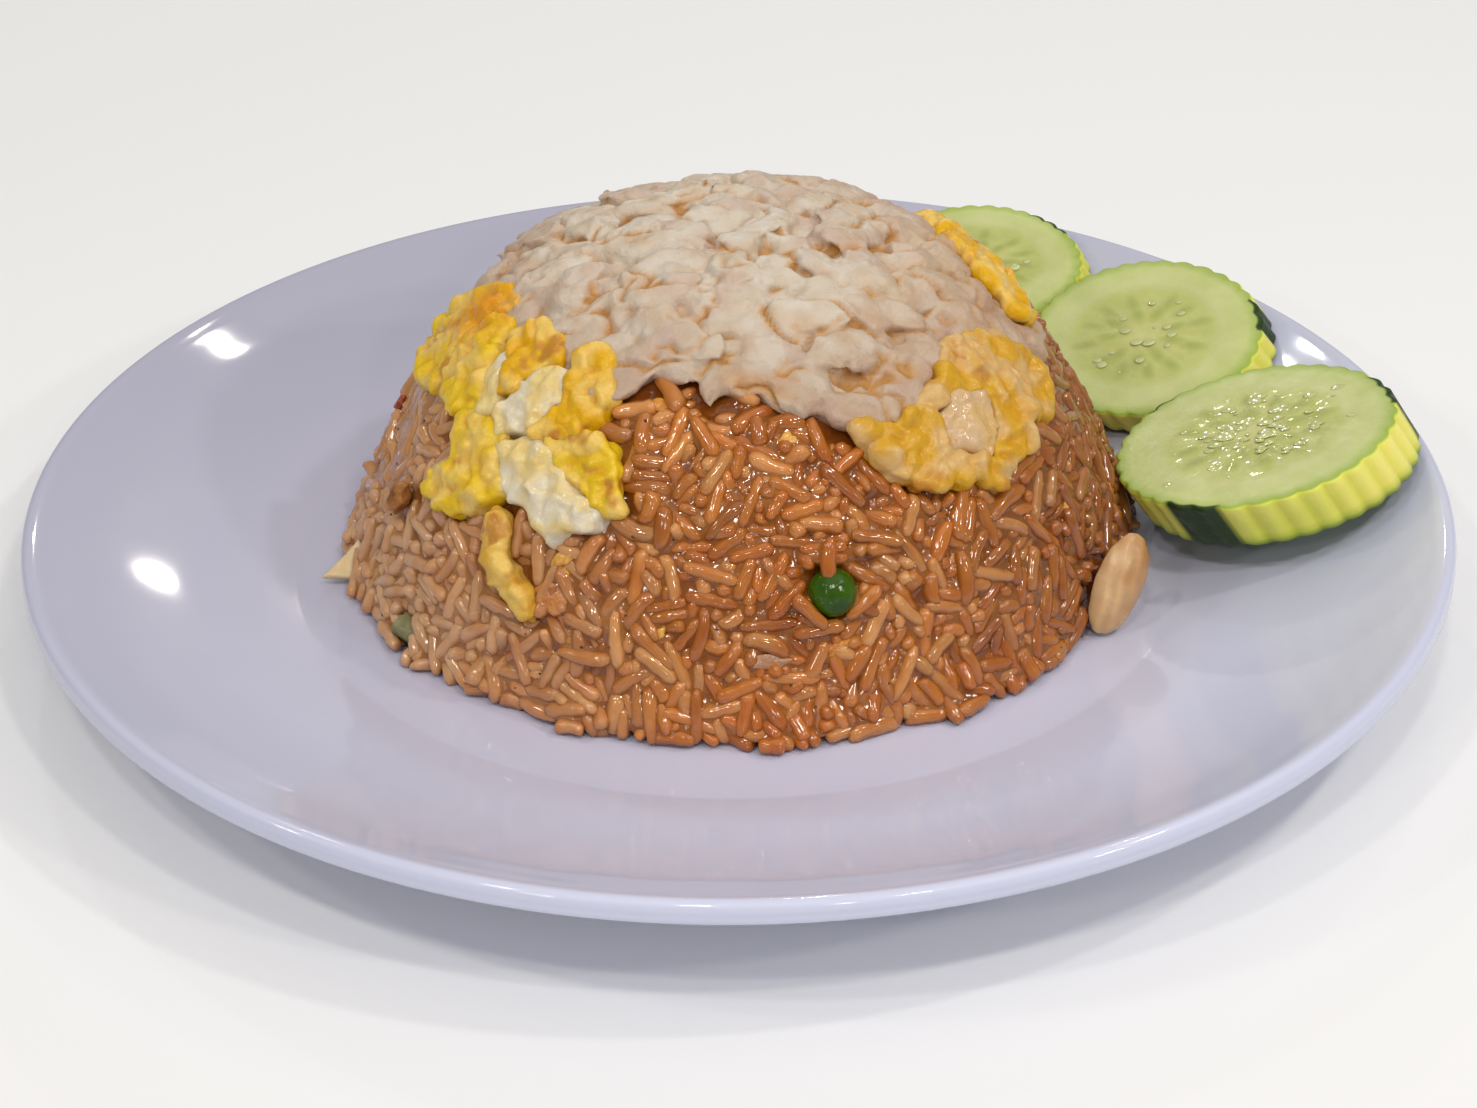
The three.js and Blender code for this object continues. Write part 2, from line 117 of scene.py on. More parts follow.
# Front lamps, all at one distance: compass angle, height angle, power.
FRONT_LAMPS = [(-165, 42, 0.6), (-135, 56, 0.9), (-118, 32, 0.65), (-98, 54, 1.1), (-76, 30, 0.65),
               (-58, 56, 1.2), (-36, 34, 1.0), (-8, 54, 1.2)]
FRONT_LAMP_REACH = 0.95
FRONT_LAMP_SIZE = 0.06
FRONT_LAMP_COLOUR = (1.0, 0.945, 0.87)


def add_light(name, place, size, power, colour):
    data = bpy.data.lights.new(name, "AREA")
    data.shape = "DISK"
    data.size = size
    data.energy = power
    data.color = colour
    add_object(name, data).matrix_world = aimed(Vector(place))


def mesh_from(name, bm):
    mesh = bpy.data.meshes.new(name)
    bm.to_mesh(mesh)
    bm.free()
    return mesh


def new_material(name):
    """An empty material: itself, its node tree and its Principled shader."""
    material = bpy.data.materials.new(name)
    material.use_nodes = True
    return material, material.node_tree, material.node_tree.nodes["Principled BSDF"]


def feed(tree, taker, **sockets):
    """Fills a node's sockets by name, each from another node's socket or with a plain value."""
    for name, value in sockets.items():
        socket = taker.inputs[name.replace("_", " ")]
        if isinstance(value, bpy.types.NodeSocket):
            tree.links.new(value, socket)
        else:
            socket.default_value = (*value, 1) if socket.type == "RGBA" else value


def new_node(tree, kind, **sockets):
    made = tree.nodes.new("ShaderNode" + kind)
    feed(tree, made, **sockets)
    return made


def object_place(tree):
    return new_node(tree, "TexCoord").outputs["Object"]


def ranged(tree, value, low, high, least=0.0, most=1.0):
    """A value from low to high turned into one from least to most."""
    span = new_node(tree, "MapRange", Value=value, From_Min=low, From_Max=high, To_Min=least, To_Max=most)
    return span.outputs["Result"]


def mixed(tree, factor, first, second, blend_type="MIX"):
    """Two colours, each a socket or a plain colour, mixed or multiplied by a factor."""
    mix = tree.nodes.new("ShaderNodeMix")
    mix.data_type = "RGBA"
    mix.blend_type = blend_type
    feed(tree, mix, Factor=factor, A=first, B=second)
    return mix.outputs["Result"]


def add_studio():
    world = bpy.data.worlds.new("surround")
    world.use_nodes = True
    background = world.node_tree.nodes["Background"]
    feed(world.node_tree, background, Color=SURROUND, Strength=SURROUND_STRENGTH)
    bpy.context.scene.world = world
    bpy.context.scene.view_settings.view_transform = "Standard"
    for light in LIGHTS:
        add_light(*light)
    for number, (angle, rise, power) in enumerate(FRONT_LAMPS):
        angle, rise = math.radians(angle), math.radians(rise)
        across = math.cos(rise)
        place = Vector((math.cos(angle) * across, math.sin(angle) * across, math.sin(rise)))
        add_light(f"front_lamp_{number + 1}", FRONT_LAMP_REACH * place, FRONT_LAMP_SIZE, power,
                  FRONT_LAMP_COLOUR)
    bm = bmesh.new()
    bmesh.ops.create_grid(bm, x_segments=2, y_segments=2, size=FLOOR_SIZE)
    floor = add_object("floor", mesh_from("floor", bm))
    material, tree, shader = new_material("floor_paper")
    place = new_node(tree, "SeparateXYZ", Vector=object_place(tree))
    away = ranged(tree, place.outputs["Y"], *FLOOR_FADE)
    feed(tree, shader, Base_Color=mixed(tree, away, FLOOR_NEAR, FLOOR_FAR), Roughness=0.9,
         Specular_IOR_Level=0.1, Emission_Color=mixed(tree, away, (0, 0, 0), (1, 1, 1)),
         Emission_Strength=FLOOR_GLOW)
    floor.data.materials.append(material)


add_studio()

# Plate: glossy white melamine, pressed in a mould as one round coupe shape with a foot ring, a flat
# well, a gentle slope and a rounded lip. Painted shade greys it towards the back, and a pinkish tint
# round the foot of the rice is a painted reflection of the rice.
PLATE_TURNS = 180
WELL = 6.0
PLATE_TOP = [(80, WELL), (88, 8.1), (100, 11.3), (112, 15.8), (122, 20.8)]
PLATE_LIP = [(124.8, 22.3), (126.0, 22.5), (126.8, 21.9), (127.0, 20.6)]
PLATE_UNDER = [(126.2, 18.6), (118, 14.5), (100, 8.3), (76, 2.5), (74.3, 0.5), (73.4, 0), (70.6, 0)]
PLATE_HOLLOW = [(69.7, 0.5), (69, 2), (0, 2)]
MELAMINE = (0.58, 0.61, 0.79)
# Painted shade: the plate's colour turns greyer towards the back.
PAINTED_BACK_SHADE = (0.405, 0.41, 0.535)
BACKWARDS = (-0.6, 0.8, 0)
# Painted reflection of the rice: a pinkish tint on the plate round the rice's foot.
PAINTED_RICE_REFLECTION = (0.60, 0.54, 0.66)
RICE_REFLECTION_MIDDLE = (0.7 * MM, 5.5 * MM, 8 * MM)
RICE_REFLECTION_FADE = (97 * MM, 62 * MM)
RICE_REFLECTION_SHARE = 0.3


def curve_through(points, steps):
    """Points on a smooth curve that passes through the given ones."""
    path = [Vector(point) for point in points]
    path = [2 * path[0] - path[1], *path, 2 * path[-1] - path[-2]]
    curve = []
    for before, start, end, after in zip(path, path[1:], path[2:], path[3:]):
        for step in range(steps):
            t = step / steps
            curve.append(
                0.5 * (2 * start + (end - before) * t
                       + (2 * before - 5 * start + 4 * end - after) * t**2
                       + (3 * start - before - 3 * end + after) * t**3)
            )
    return [*curve, path[-2]]


def spun(profile, turns):
    """A bmesh turned about Z from (radius, height) points in millimetres."""
    bm = bmesh.new()
    verts = [bm.verts.new((radius * MM, 0, height * MM)) for radius, height in profile]
    edges = [bm.edges.new(pair) for pair in zip(verts, verts[1:])]
    bmesh.ops.spin(bm, geom=verts + edges, axis=(0, 0, 1), angle=2 * math.pi, steps=turns, use_merge=True)
    bmesh.ops.remove_doubles(bm, verts=bm.verts, dist=1e-7)
    bmesh.ops.recalc_face_normals(bm, faces=bm.faces)
    return bm


def smooth_object(name, mesh):
    mesh.polygons.foreach_set("use_smooth", [True] * len(mesh.polygons))
    return add_object(name, mesh)


def dress(piece, material, slot, *nodes):
    """Gives a piece its material, hangs it on the root body and hides the nodes it stands for; slot is not
    used.
    """
    piece.data.materials.clear()
    piece.data.materials.append(material)
    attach(piece, "root")
    if nodes:
        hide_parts(*nodes)


def effect_group(name, inputs, **outputs):
    """An empty shader node group: its inputs have a first value each, its outputs a kind."""
    tree = bpy.data.node_groups.new(name, "ShaderNodeTree")
    for socket, value in inputs.items():
        kind = "Color" if isinstance(value, tuple) else "Float"
        new = tree.interface.new_socket(socket, in_out="INPUT", socket_type="NodeSocket" + kind)
        new.default_value = value
    for socket, kind in outputs.items():
        tree.interface.new_socket(socket, in_out="OUTPUT", socket_type="NodeSocket" + kind)
    return tree, tree.nodes.new("NodeGroupInput").outputs, tree.nodes.new("NodeGroupOutput")


def mottle_group():
    """Soft patches: mixes two colours by noise of a given size, sharpened by contrast."""
    inputs = {"Colour A": (1, 1, 1, 1), "Colour B": (0, 0, 0, 1), "Scale": 100.0, "Low": 0.35, "High": 0.65}
    tree, given, result = effect_group("mottle", inputs, Colour="Color", Mask="Float")
    patches = new_node(tree, "TexNoise", Vector=object_place(tree), Scale=given["Scale"], Detail=4)
    mask = ranged(tree, patches.outputs["Fac"], given["Low"], given["High"])
    feed(tree, result, Colour=mixed(tree, mask, given["Colour A"], given["Colour B"]), Mask=mask)
    return tree


def relief_group():
    """Fine uneven relief: a normal from noise of a given size."""
    inputs = {"Scale": 500.0, "Strength": 0.3, "Depth": 0.0003, "Detail": 4.0}
    tree, given, result = effect_group("relief", inputs, Normal="Vector")
    grain = new_node(tree, "TexNoise", Vector=object_place(tree), Scale=given["Scale"],
                     Detail=given["Detail"], Roughness=0.55)
    bump = new_node(tree, "Bump", Height=grain.outputs["Fac"], Strength=given["Strength"],
                    Distance=given["Depth"])
    feed(tree, result, Normal=bump.outputs["Normal"])
    return tree


MOTTLE = mottle_group()
RELIEF = relief_group()


def effect(tree, group, **sockets):
    """The outputs of an effect placed in a material, with its sockets filled by name."""
    placed = tree.nodes.new("ShaderNodeGroup")
    placed.node_tree = group
    feed(tree, placed, **sockets)
    return placed.outputs


def set_shader(tree, shader, colour, relief, rough, soft=None, **values):
    """Fills a shader's sockets.

    relief holds the relief effect's values; rough is a patch scale and the two ends between which the
    roughness wanders; soft is how light goes into moist food: weight, depth in millimetres, colour.
    """
    scale, low, high = rough
    patches = effect(tree, MOTTLE, Scale=scale, Low=0.3, High=0.7)["Mask"]
    feed(tree, shader, Base_Color=colour, Normal=effect(tree, RELIEF, **relief)["Normal"],
         Roughness=ranged(tree, patches, 0.0, 1.0, low, high), **values)
    if soft:
        weight, depth, reach = soft
        feed(tree, shader, Subsurface_Weight=weight, Subsurface_Scale=depth * MM, Subsurface_Radius=reach)


def measured(tree, operation, other):
    """A place's dot product with a direction, or its distance from a point."""
    maths = tree.nodes.new("ShaderNodeVectorMath")
    maths.operation = operation
    tree.links.new(object_place(tree), maths.inputs[0])
    maths.inputs[1].default_value = other
    return maths.outputs["Value"]


def melamine():
    """White melamine, greyer towards the back by painted shade, with a painted reflection round the rice.
    """
    material, tree, shader = new_material("melamine")
    # Painted shade towards the back; painted reflection of the rice round its foot.
    away = ranged(tree, measured(tree, "DOT_PRODUCT", BACKWARDS), -90 * MM, 120 * MM)
    near = ranged(tree, measured(tree, "DISTANCE", RICE_REFLECTION_MIDDLE), *RICE_REFLECTION_FADE, 0.0, RICE_REFLECTION_SHARE)
    colour = mixed(tree, near, mixed(tree, away, MELAMINE, PAINTED_BACK_SHADE), PAINTED_RICE_REFLECTION)
    set_shader(tree, shader, colour, dict(Scale=160.0, Strength=0.05, Depth=0.0003), (60.0, 0.38, 0.5),
           Specular_IOR_Level=0.3, Coat_Weight=0.65, Coat_Roughness=0.06)
    return material


def add_plate():
    rim = curve_through([PLATE_TOP[-1], *PLATE_LIP, *PLATE_UNDER], 4)
    profile = [(0, WELL), (40, WELL), (70, WELL), *curve_through(PLATE_TOP, 6)[:-1], *rim, *PLATE_HOLLOW]
    plate = smooth_object("plate_melamine", mesh_from("plate_melamine", spun(profile, PLATE_TURNS)))
    dress(plate, melamine(), "plate", "plate")


add_plate()

# Rice: cooked long grains with soy and oil, packed in a bowl and turned out. A sticky core carries
# layers of whole grains: those against the bowl lie flat to its form, and those below fill the gaps.
MOUND_RADIUS = 72.5
MOUND_HEIGHT = 60.0
MOUND_CENTRE = np.array([0.7, 5.5])
BOWL_SIDE = 0.33
BOWL_TOP = 1.3
SLOPE_STEP = 0.2
SKIRT_REACH = 2.2
SKIRT_HEIGHT = 7
GOLDEN_ANGLE = 137.508
GRAIN_LENGTH = (7.2, 10.2)
GRAIN_WIDTH = (2.6, 3.3)
GRAIN_COUNT = 5600
GRAIN_SHELL = 4.4
BROKEN_SHARE = 0.14
BROKEN_LENGTH = 0.62
GRAIN_TOP = 57
DEEPEST_SEEN = 4.3
GRAIN_COLOURS = np.array([
    (0.50, 0.185, 0.032), (0.45, 0.160, 0.026), (0.54, 0.235, 0.062),
    (0.44, 0.150, 0.020), (0.48, 0.165, 0.022), (0.57, 0.270, 0.085),
])
GRAIN_PALE = np.array([0.62, 0.42, 0.25])
PASTE = np.array([0.50, 0.25, 0.085])
BROWN_PASTE = np.array([0.26, 0.12, 0.04])
SAUCE = np.array([0.38, 0.140, 0.022])
# The darkest sauce colour also paints the shade deep between the grains.
DARK_SAUCE_AND_SHADE = np.array([0.19, 0.05, 0.004])

# The same uneven shapes on every run.
noise.seed_set(11)


def rising(value, low, high):
    """0 at low, 1 at high and even in between; it falls where low is the larger."""
    return np.clip((value - low) / (high - low), 0, 1)


def blend(first, second, share):
    return first * (1 - share) + second * share


def bowl_radius(height):
    share = np.clip(np.asarray(height, float) / MOUND_HEIGHT, 0, 1)
    return MOUND_RADIUS * (1 - share**BOWL_TOP) ** BOWL_SIDE


def bowl_height(radius):
    share = 1 - np.clip(np.asarray(radius, float) / MOUND_RADIUS, 0, 1) ** (1 / BOWL_SIDE)
    return np.minimum(MOUND_HEIGHT * np.maximum(share, 0) ** (1 / BOWL_TOP), MOUND_HEIGHT - 0.05)


def bowl_slope(height, top):
    """How far the bowl's outward direction points across and up at a height."""
    low = np.maximum(height - SLOPE_STEP, 0.0)
    high = np.minimum(height + SLOPE_STEP, top)
    fall = bowl_radius(low) - bowl_radius(high)
    length = np.hypot(high - low, fall)
    return (high - low) / length, fall / length


def bowl_frame(angle, height):
    """Points on the bowl's form with their sideways, uphill and outward directions, as arrays."""
    angle = np.radians(np.asarray(angle, float))
    cos, sin = np.cos(angle), np.sin(angle)
    across, up = bowl_slope(height, MOUND_HEIGHT - 0.01)
    outward = np.stack([cos * across, sin * across, up], -1)
    sideways = np.stack([-sin, cos, 0 * angle], -1)
    uphill = np.cross(outward, sideways)
    radius = bowl_radius(height)
    point = np.stack([MOUND_CENTRE[0] + radius * cos, MOUND_CENTRE[1] + radius * sin, WELL + height], -1)
    return point, sideways, uphill, outward


def lying(sideways, uphill, turn):
    """The direction at a turn, in degrees, from sideways towards uphill."""
    return math.cos(math.radians(turn)) * sideways + math.sin(math.radians(turn)) * uphill


def even_places(count):
    """Compass angles and heights spread evenly over the bowl's surface by the golden angle."""
    steps = np.linspace(0, MOUND_HEIGHT, 600)
    radius = bowl_radius(steps)
    slant = np.hypot(np.diff(steps), np.diff(radius))
    area = np.concatenate([[0], np.cumsum(slant * (radius[1:] + radius[:-1]))])
    wanted = area[-1] * (np.arange(count) + 0.5) / count
    return (np.arange(count) * GOLDEN_ANGLE) % 360, np.interp(wanted, area, steps)


def wall_depth(points):
    """How far points lie inside the bowl's wall, and the wall's outward direction there.

    Near the plate the rice spreads in an uneven skirt. On steep walls only the side counts.
    """
    offset = points[:, :2] - MOUND_CENTRE
    radius = np.hypot(offset[:, 0], offset[:, 1])
    height = np.clip(points[:, 2] - WELL, 0, MOUND_HEIGHT - SLOPE_STEP)
    across, up = bowl_slope(height, MOUND_HEIGHT)
    ripple = np.sin(7 * np.arctan2(offset[:, 1], offset[:, 0])) * np.sin(0.3 * offset[:, 0])
    skirt = SKIRT_REACH * (1 + 0.9 * ripple) * np.clip(1 - height / SKIRT_HEIGHT, 0, 1)
    side = (bowl_radius(height) + skirt - radius) * across
    top = (bowl_height(radius) - (points[:, 2] - WELL)) * up + 60 * (up < 0.3)
    outward = np.stack([offset[:, 0] / radius * across, offset[:, 1] / radius * across, up], -1)
    return np.minimum(side, top), outward


# The solids that lie on the rice or in it, which the grains keep clear of.
TOPPINGS = [solid for name, solid in frame["nodes"].items()
            if name not in ("plate", "rice_mound") and not name.startswith("cucumber")]


def topping_trees():
    return [BVHTree.FromPolygons([vert.co for vert in solid.data.vertices],
                                 [tuple(face.vertices) for face in solid.data.polygons])
            for solid in TOPPINGS]


def topping_beads():
    """Points spread over the toppings' surfaces."""
    beads = []
    for solid in TOPPINGS:
        corners = np.array([vert.co for vert in solid.data.vertices]) / MM
        for face in solid.data.polygons:
            triangle = corners[list(face.vertices)[:3]]
            middle = triangle.mean(0)
            halfway = (triangle + np.roll(triangle, 1, 0)) / 2
            beads += [*triangle, middle, *((triangle + middle) / 2), *halfway]
    return np.unique(np.round(beads, 1), axis=0)


def uncovered(points, outward, trees, margin):
    """Which places in the rice have no topping over them, or closer than a margin."""
    clear = []
    for point, out in zip(points, outward):
        place = Vector(point * MM)
        clear.append(not any(tree.find_nearest(place, margin * MM)[0] is not None
                             or tree.ray_cast(place, Vector(out), 8 * MM)[0] is not None
                             for tree in trees))
    return np.array(clear)


def mashed(points):
    """Where the bowl's side smeared the rice into a paste: 1 on the far left, 0.8 on the right."""
    angle = np.degrees(np.arctan2(points[:, 1] - MOUND_CENTRE[1], points[:, 0] - MOUND_CENTRE[0]))
    angle = np.where(angle > 90, angle - 360, angle)
    height = points[:, 2] - WELL
    left = rising(angle, -149, -163) * rising(height, 9, 17) * rising(angle, -236, -216)
    right = rising(angle, -24, -12) * rising(angle, 18, 6) * rising(height, 16, 24)
    return np.maximum(left, 0.8 * right)


# Each grain is packed as a row of beads that push the beads of others away.
GRAIN_BEADS = np.array([-1.0, -0.5, 0.0, 0.5, 1.0])
TOPPING_BEAD = 0.9
PACK_STEPS = 30
PACK_TIGHT = 0.68
PAIR_REACH = 3.0
STEPS_PER_SEARCH = 6
SHIFT_PACE = 1.6
TURN_PACE = 1.2


def tree_of(points):
    """A search tree of points."""
    tree = KDTree(len(points))
    for number, point in enumerate(points):
        tree.insert(point, number)
    tree.balance()
    return tree


def near_pairs(beads, owner, fixed):
    """Pairs of close beads that don't belong to one grain; fixed beads belong to no grain."""
    tree = tree_of(np.concatenate([beads, fixed]))
    pairs = np.array([(i, j) for i, bead in enumerate(beads)
                      for _, j, _ in tree.find_range(bead, PAIR_REACH) if j > i])
    owners = np.concatenate([owner, np.full(len(fixed), -1)])
    return pairs[owners[pairs[:, 0]] != owners[pairs[:, 1]]]


def packed(centres, along, halves, widths, proud, fixed):
    """Pushes grains apart and into the bowl until they lie evenly, pressed a little into each other."""
    owner = np.repeat(np.arange(len(centres)), len(GRAIN_BEADS))
    place = np.tile(GRAIN_BEADS, len(centres))
    size = np.concatenate([widths[owner], np.full(len(fixed), TOPPING_BEAD)])
    for step in range(PACK_STEPS):
        beads = centres[owner] + (halves[owner] * place)[:, None] * along[owner]
        if step % STEPS_PER_SEARCH == 0:
            pairs = near_pairs(beads, owner, fixed)
        every = np.concatenate([beads, fixed])
        gap = every[pairs[:, 0]] - every[pairs[:, 1]]
        away = np.linalg.norm(gap, axis=1) + 1e-6
        short = np.maximum(0.5 * (size[pairs[:, 0]] + size[pairs[:, 1]]) * PACK_TIGHT - away, 0)
        push = gap / away[:, None] * (0.5 * short)[:, None]
        moves = np.zeros_like(every)
        np.add.at(moves, pairs[:, 0], push)
        np.add.at(moves, pairs[:, 1], -push)
        moves = moves[:len(beads)]
        depth, outward = wall_depth(beads + moves)
        over = np.maximum(0.5 * widths[owner] - depth - proud[owner], 0)
        over -= np.maximum(depth - GRAIN_SHELL, 0) * 0.5
        moves -= over[:, None] * outward
        floor = WELL + 0.5 * widths[owner] + 0.05
        moves[:, 2] += np.maximum(floor - (beads + moves)[:, 2], 0)
        shift = np.zeros_like(centres)
        twist = np.zeros_like(centres)
        np.add.at(shift, owner, moves)
        np.add.at(twist, owner, moves * place[:, None])
        centres = centres + shift / len(GRAIN_BEADS) * SHIFT_PACE
        along = along + twist / (GRAIN_BEADS**2).sum() / halves[:, None] * TURN_PACE
        along /= np.linalg.norm(along, axis=1)[:, None]
    return centres, along


def grain_frames(rng):
    """Matrices (in millimetres) of all grains of the mound."""
    angles, heights = even_places(GRAIN_COUNT)
    points, sideways, uphill, outward = bowl_frame(angles, heights)
    trees = topping_trees()
    lengths = rng.uniform(*GRAIN_LENGTH, GRAIN_COUNT)
    lengths = lengths * np.where(rng.random(GRAIN_COUNT) < BROKEN_SHARE, BROKEN_LENGTH, 1.0)
    widths = rng.uniform(*GRAIN_WIDTH, GRAIN_COUNT)
    lean = np.array([noise.noise(Vector(point) / 13) for point in points]) * 2 * math.pi
    turn = lean + rng.normal(0, 0.8, GRAIN_COUNT)
    steep = rng.normal(0, 0.28, GRAIN_COUNT)
    flat = np.cos(turn)[:, None] * sideways + np.sin(turn)[:, None] * uphill
    along = np.cos(steep)[:, None] * flat + np.sin(steep)[:, None] * outward
    sunk = rng.uniform(0.5 * widths, GRAIN_SHELL)
    centres = points - sunk[:, None] * outward + rng.normal(0, 0.8, (GRAIN_COUNT, 3))
    keep = (heights < GRAIN_TOP) & uncovered(centres, outward, trees, 0.4)
    keep &= rng.random(GRAIN_COUNT) > 0.35 * mashed(points)
    centres, along, lengths, widths = centres[keep], along[keep], lengths[keep], widths[keep]
    halves = 0.5 * (lengths - 0.9 * widths)
    proud = rng.normal(0.1, 0.4, len(centres)) - 1.3 * mashed(centres)
    centres, along = packed(centres, along, halves, widths, proud, topping_beads())
    depths, outward = wall_depth(centres)
    side = np.cross(along, rng.normal(0, 1, centres.shape))
    side /= np.linalg.norm(side, axis=1)[:, None]
    third = np.cross(along, side)
    length, width = lengths[:, None], widths[:, None]
    frames = np.stack([length * along, width * side, width * third, centres], 2)
    return frames[(depths < DEEPEST_SEEN) & uncovered(centres, outward, trees, 0.3)]


# Grains stuck over the edge of the pea: sideways, uphill and outward from its middle, and turn.
PEA_GRAINS = [(-0.6, 5.4, 1.9, 82), (-4.4, -2.6, 1.5, -50), (4.9, -2.4, 0.6, 36)]


def pea_grains():
    middle = np.array([(low + high) / 2 for low, high in zip(*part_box("pea"))]) / MM
    angle = math.degrees(math.atan2(middle[1] - MOUND_CENTRE[1], middle[0] - MOUND_CENTRE[0]))
    _, sideways, uphill, outward = bowl_frame(angle, middle[2] - WELL)
    frames = []
    for right, up, out, turn in PEA_GRAINS:
        along = lying(sideways, uphill, turn)
        centre = middle + right * sideways + up * uphill + out * outward
        frames.append(np.stack([7.6 * along, 2.6 * np.cross(outward, along), 2.4 * outward, centre], 1))
    return np.array(frames)


def template_of(bm):
    """A shape's points and faces, to be copied many times."""
    bm.verts.index_update()
    places = np.array([vert.co for vert in bm.verts])
    faces = [[vert.index for vert in face.verts] for face in bm.faces]
    bm.free()
    return places, faces


def grain_template(sides, rings, bend, taper, blunt_ends):
    """One cooked grain, a unit long and a unit wide: rounded ends, a slight bend and uneven sides."""
    bm = bmesh.new()
    bmesh.ops.create_uvsphere(bm, u_segments=sides, v_segments=rings, radius=0.5)
    bmesh.ops.rotate(bm, verts=bm.verts, matrix=Matrix.Rotation(math.pi / 2, 3, "Y"))
    for vert in bm.verts:
        along = 2 * vert.co.x
        full = math.sqrt(max(1 - along**2, 0))
        blunt = max(1 - abs(along) ** blunt_ends, 0) ** 0.5
        if full > 1e-3:
            vert.co.y *= blunt / full
            vert.co.z *= 0.86 * blunt / full
        vert.co.yz *= 1 + taper * along
        vert.co.y += bend * along**2
        rough = noise.noise_vector(Vector((4 * vert.co.x + 9 * bend, 2 * vert.co.y, 2 * vert.co.z)))
        vert.co += Vector((0.03 * rough.x, 0.13 * rough.y, 0.13 * rough.z))
    return template_of(bm)


def colour_attribute(mesh, name, values):
    attribute = mesh.color_attributes.new(name, "FLOAT_COLOR", "POINT")
    full = np.concatenate([values, np.ones((len(values), 1))], 1)
    attribute.data.foreach_set("color", full.ravel())


def plate_height(points):
    """The height of the plate's face under each point."""
    return np.interp(np.hypot(points[..., 0], points[..., 1]), *zip(*PLATE_TOP))


def joined_copies(name, template, frames, colours, shading=None):
    """One piece of many copies of a shape, each with its own matrix and colour.

    A copy that reaches the plate is flattened on it, as a soft grain is by its own weight.
    """
    places, faces = template
    points = np.einsum("nij,vj->nvi", frames[:, :, :3], places) + frames[:, None, :, 3]
    points[..., 2] = np.maximum(points[..., 2], plate_height(points) + 0.05)
    count, per = points.shape[:2]
    corners = (np.concatenate(faces) + per * np.arange(count)[:, None]).ravel()
    sizes = np.tile([len(face) for face in faces], count)
    mesh = bpy.data.meshes.new(name)
    mesh.vertices.add(count * per)
    mesh.vertices.foreach_set("co", (points * MM).ravel())
    mesh.loops.add(len(corners))
    mesh.loops.foreach_set("vertex_index", corners)
    mesh.polygons.add(len(sizes))
    mesh.polygons.foreach_set("loop_start", np.concatenate([[0], np.cumsum(sizes)[:-1]]))
    mesh.update(calc_edges=True)
    shades = np.repeat(colours, per, axis=0)
    if shading:
        shades = shades * shading(points.reshape(-1, 3))
    colour_attribute(mesh, "tint", shades)
    return smooth_object(name, mesh)


def to_left(points):
    """How far each point lies to the left, 0 to 1."""
    return rising(points[:, 0], -12, -54)[:, None]


def grain_shades(rng, frames):
    """A colour for each grain: soy brown, paler and greyer on the left, paste where mashed, painted shade
    on the right.
    """
    shades = GRAIN_COLOURS[rng.integers(0, len(GRAIN_COLOURS), len(frames))]
    shades = shades * rng.normal(1.0, 0.09, (len(frames), 1))
    place = frames[:, :, 3]
    shades = blend(shades, GRAIN_PALE, 0.72 * to_left(place))
    right = rising(place[:, 0], 30, 70)[:, None]
    share = 0.8 * mashed(place)[:, None]
    shades = blend(shades, 1.15 * blend(PASTE, BROWN_PASTE, right), share)
    # Painted shade: grains on the right are darkened.
    shades = shades * (1 - right * (1 - share) * np.array([0.36, 0.40, 0.42]))
    return np.clip(shades, 0.02, 0.9)


def sauce_and_painted_shade(points):
    """How soy and oil darken each point, with painted shade: the deeper between grains, the browner."""
    depth, _ = wall_depth(points)
    deep = (rising(depth, 0.3, 3.1) * (1 - 0.75 * mashed(points)))[:, None]
    return 1 - deep * np.array([0.45, 0.68, 0.9])


def stored(tree, name):
    """The outputs of a colour that is stored on the piece's points."""
    made = tree.nodes.new("ShaderNodeAttribute")
    made.attribute_name = name
    return made.outputs


def tinted(name, dark, scale, relief, rough, soft, sauce=None, **values):
    """A moist food in its own tint, darkened in soft patches, and in larger ones of sauce."""
    material, tree, shader = new_material(name)
    patches = effect(tree, MOTTLE, Colour_B=dark, Scale=scale, Low=0.4, High=0.7)["Colour"]
    colour = mixed(tree, 1.0, stored(tree, "tint")["Color"], patches, "MULTIPLY")
    if sauce:
        pools = effect(tree, MOTTLE, Colour_B=sauce, Scale=55.0, Low=0.45, High=0.7)["Colour"]
        colour = mixed(tree, 1.0, colour, pools, "MULTIPLY")
    set_shader(tree, shader, colour, relief, rough, soft, **values)
    return material


def uneven(points, size, seed):
    """Soft noise from -1 to 1 at each point (millimetres), with features of the given size."""
    shift = Vector((seed * 17.3, seed * 7.1, seed * 3.7))
    return np.array([noise.noise(Vector(point) / size + shift) for point in points])


def uneven_shift(points, size, seed):
    """Soft noise as a direction for each point, about half a unit long."""
    shift = Vector((seed * 5.3, seed * 11.1, seed * 2.7))
    return np.array([noise.noise_vector(Vector(point) / size + shift) for point in points])


def vectors_of(mesh, what):
    values = np.empty(3 * len(mesh.vertices))
    mesh.vertices.foreach_get(what, values)
    return values.reshape(-1, 3)


def points_of(piece):
    return vectors_of(piece.data, "co") / MM


def normals_of(piece):
    return vectors_of(piece.data, "normal")


def set_points(piece, points):
    piece.data.vertices.foreach_set("co", (points * MM).ravel())
    piece.data.update()


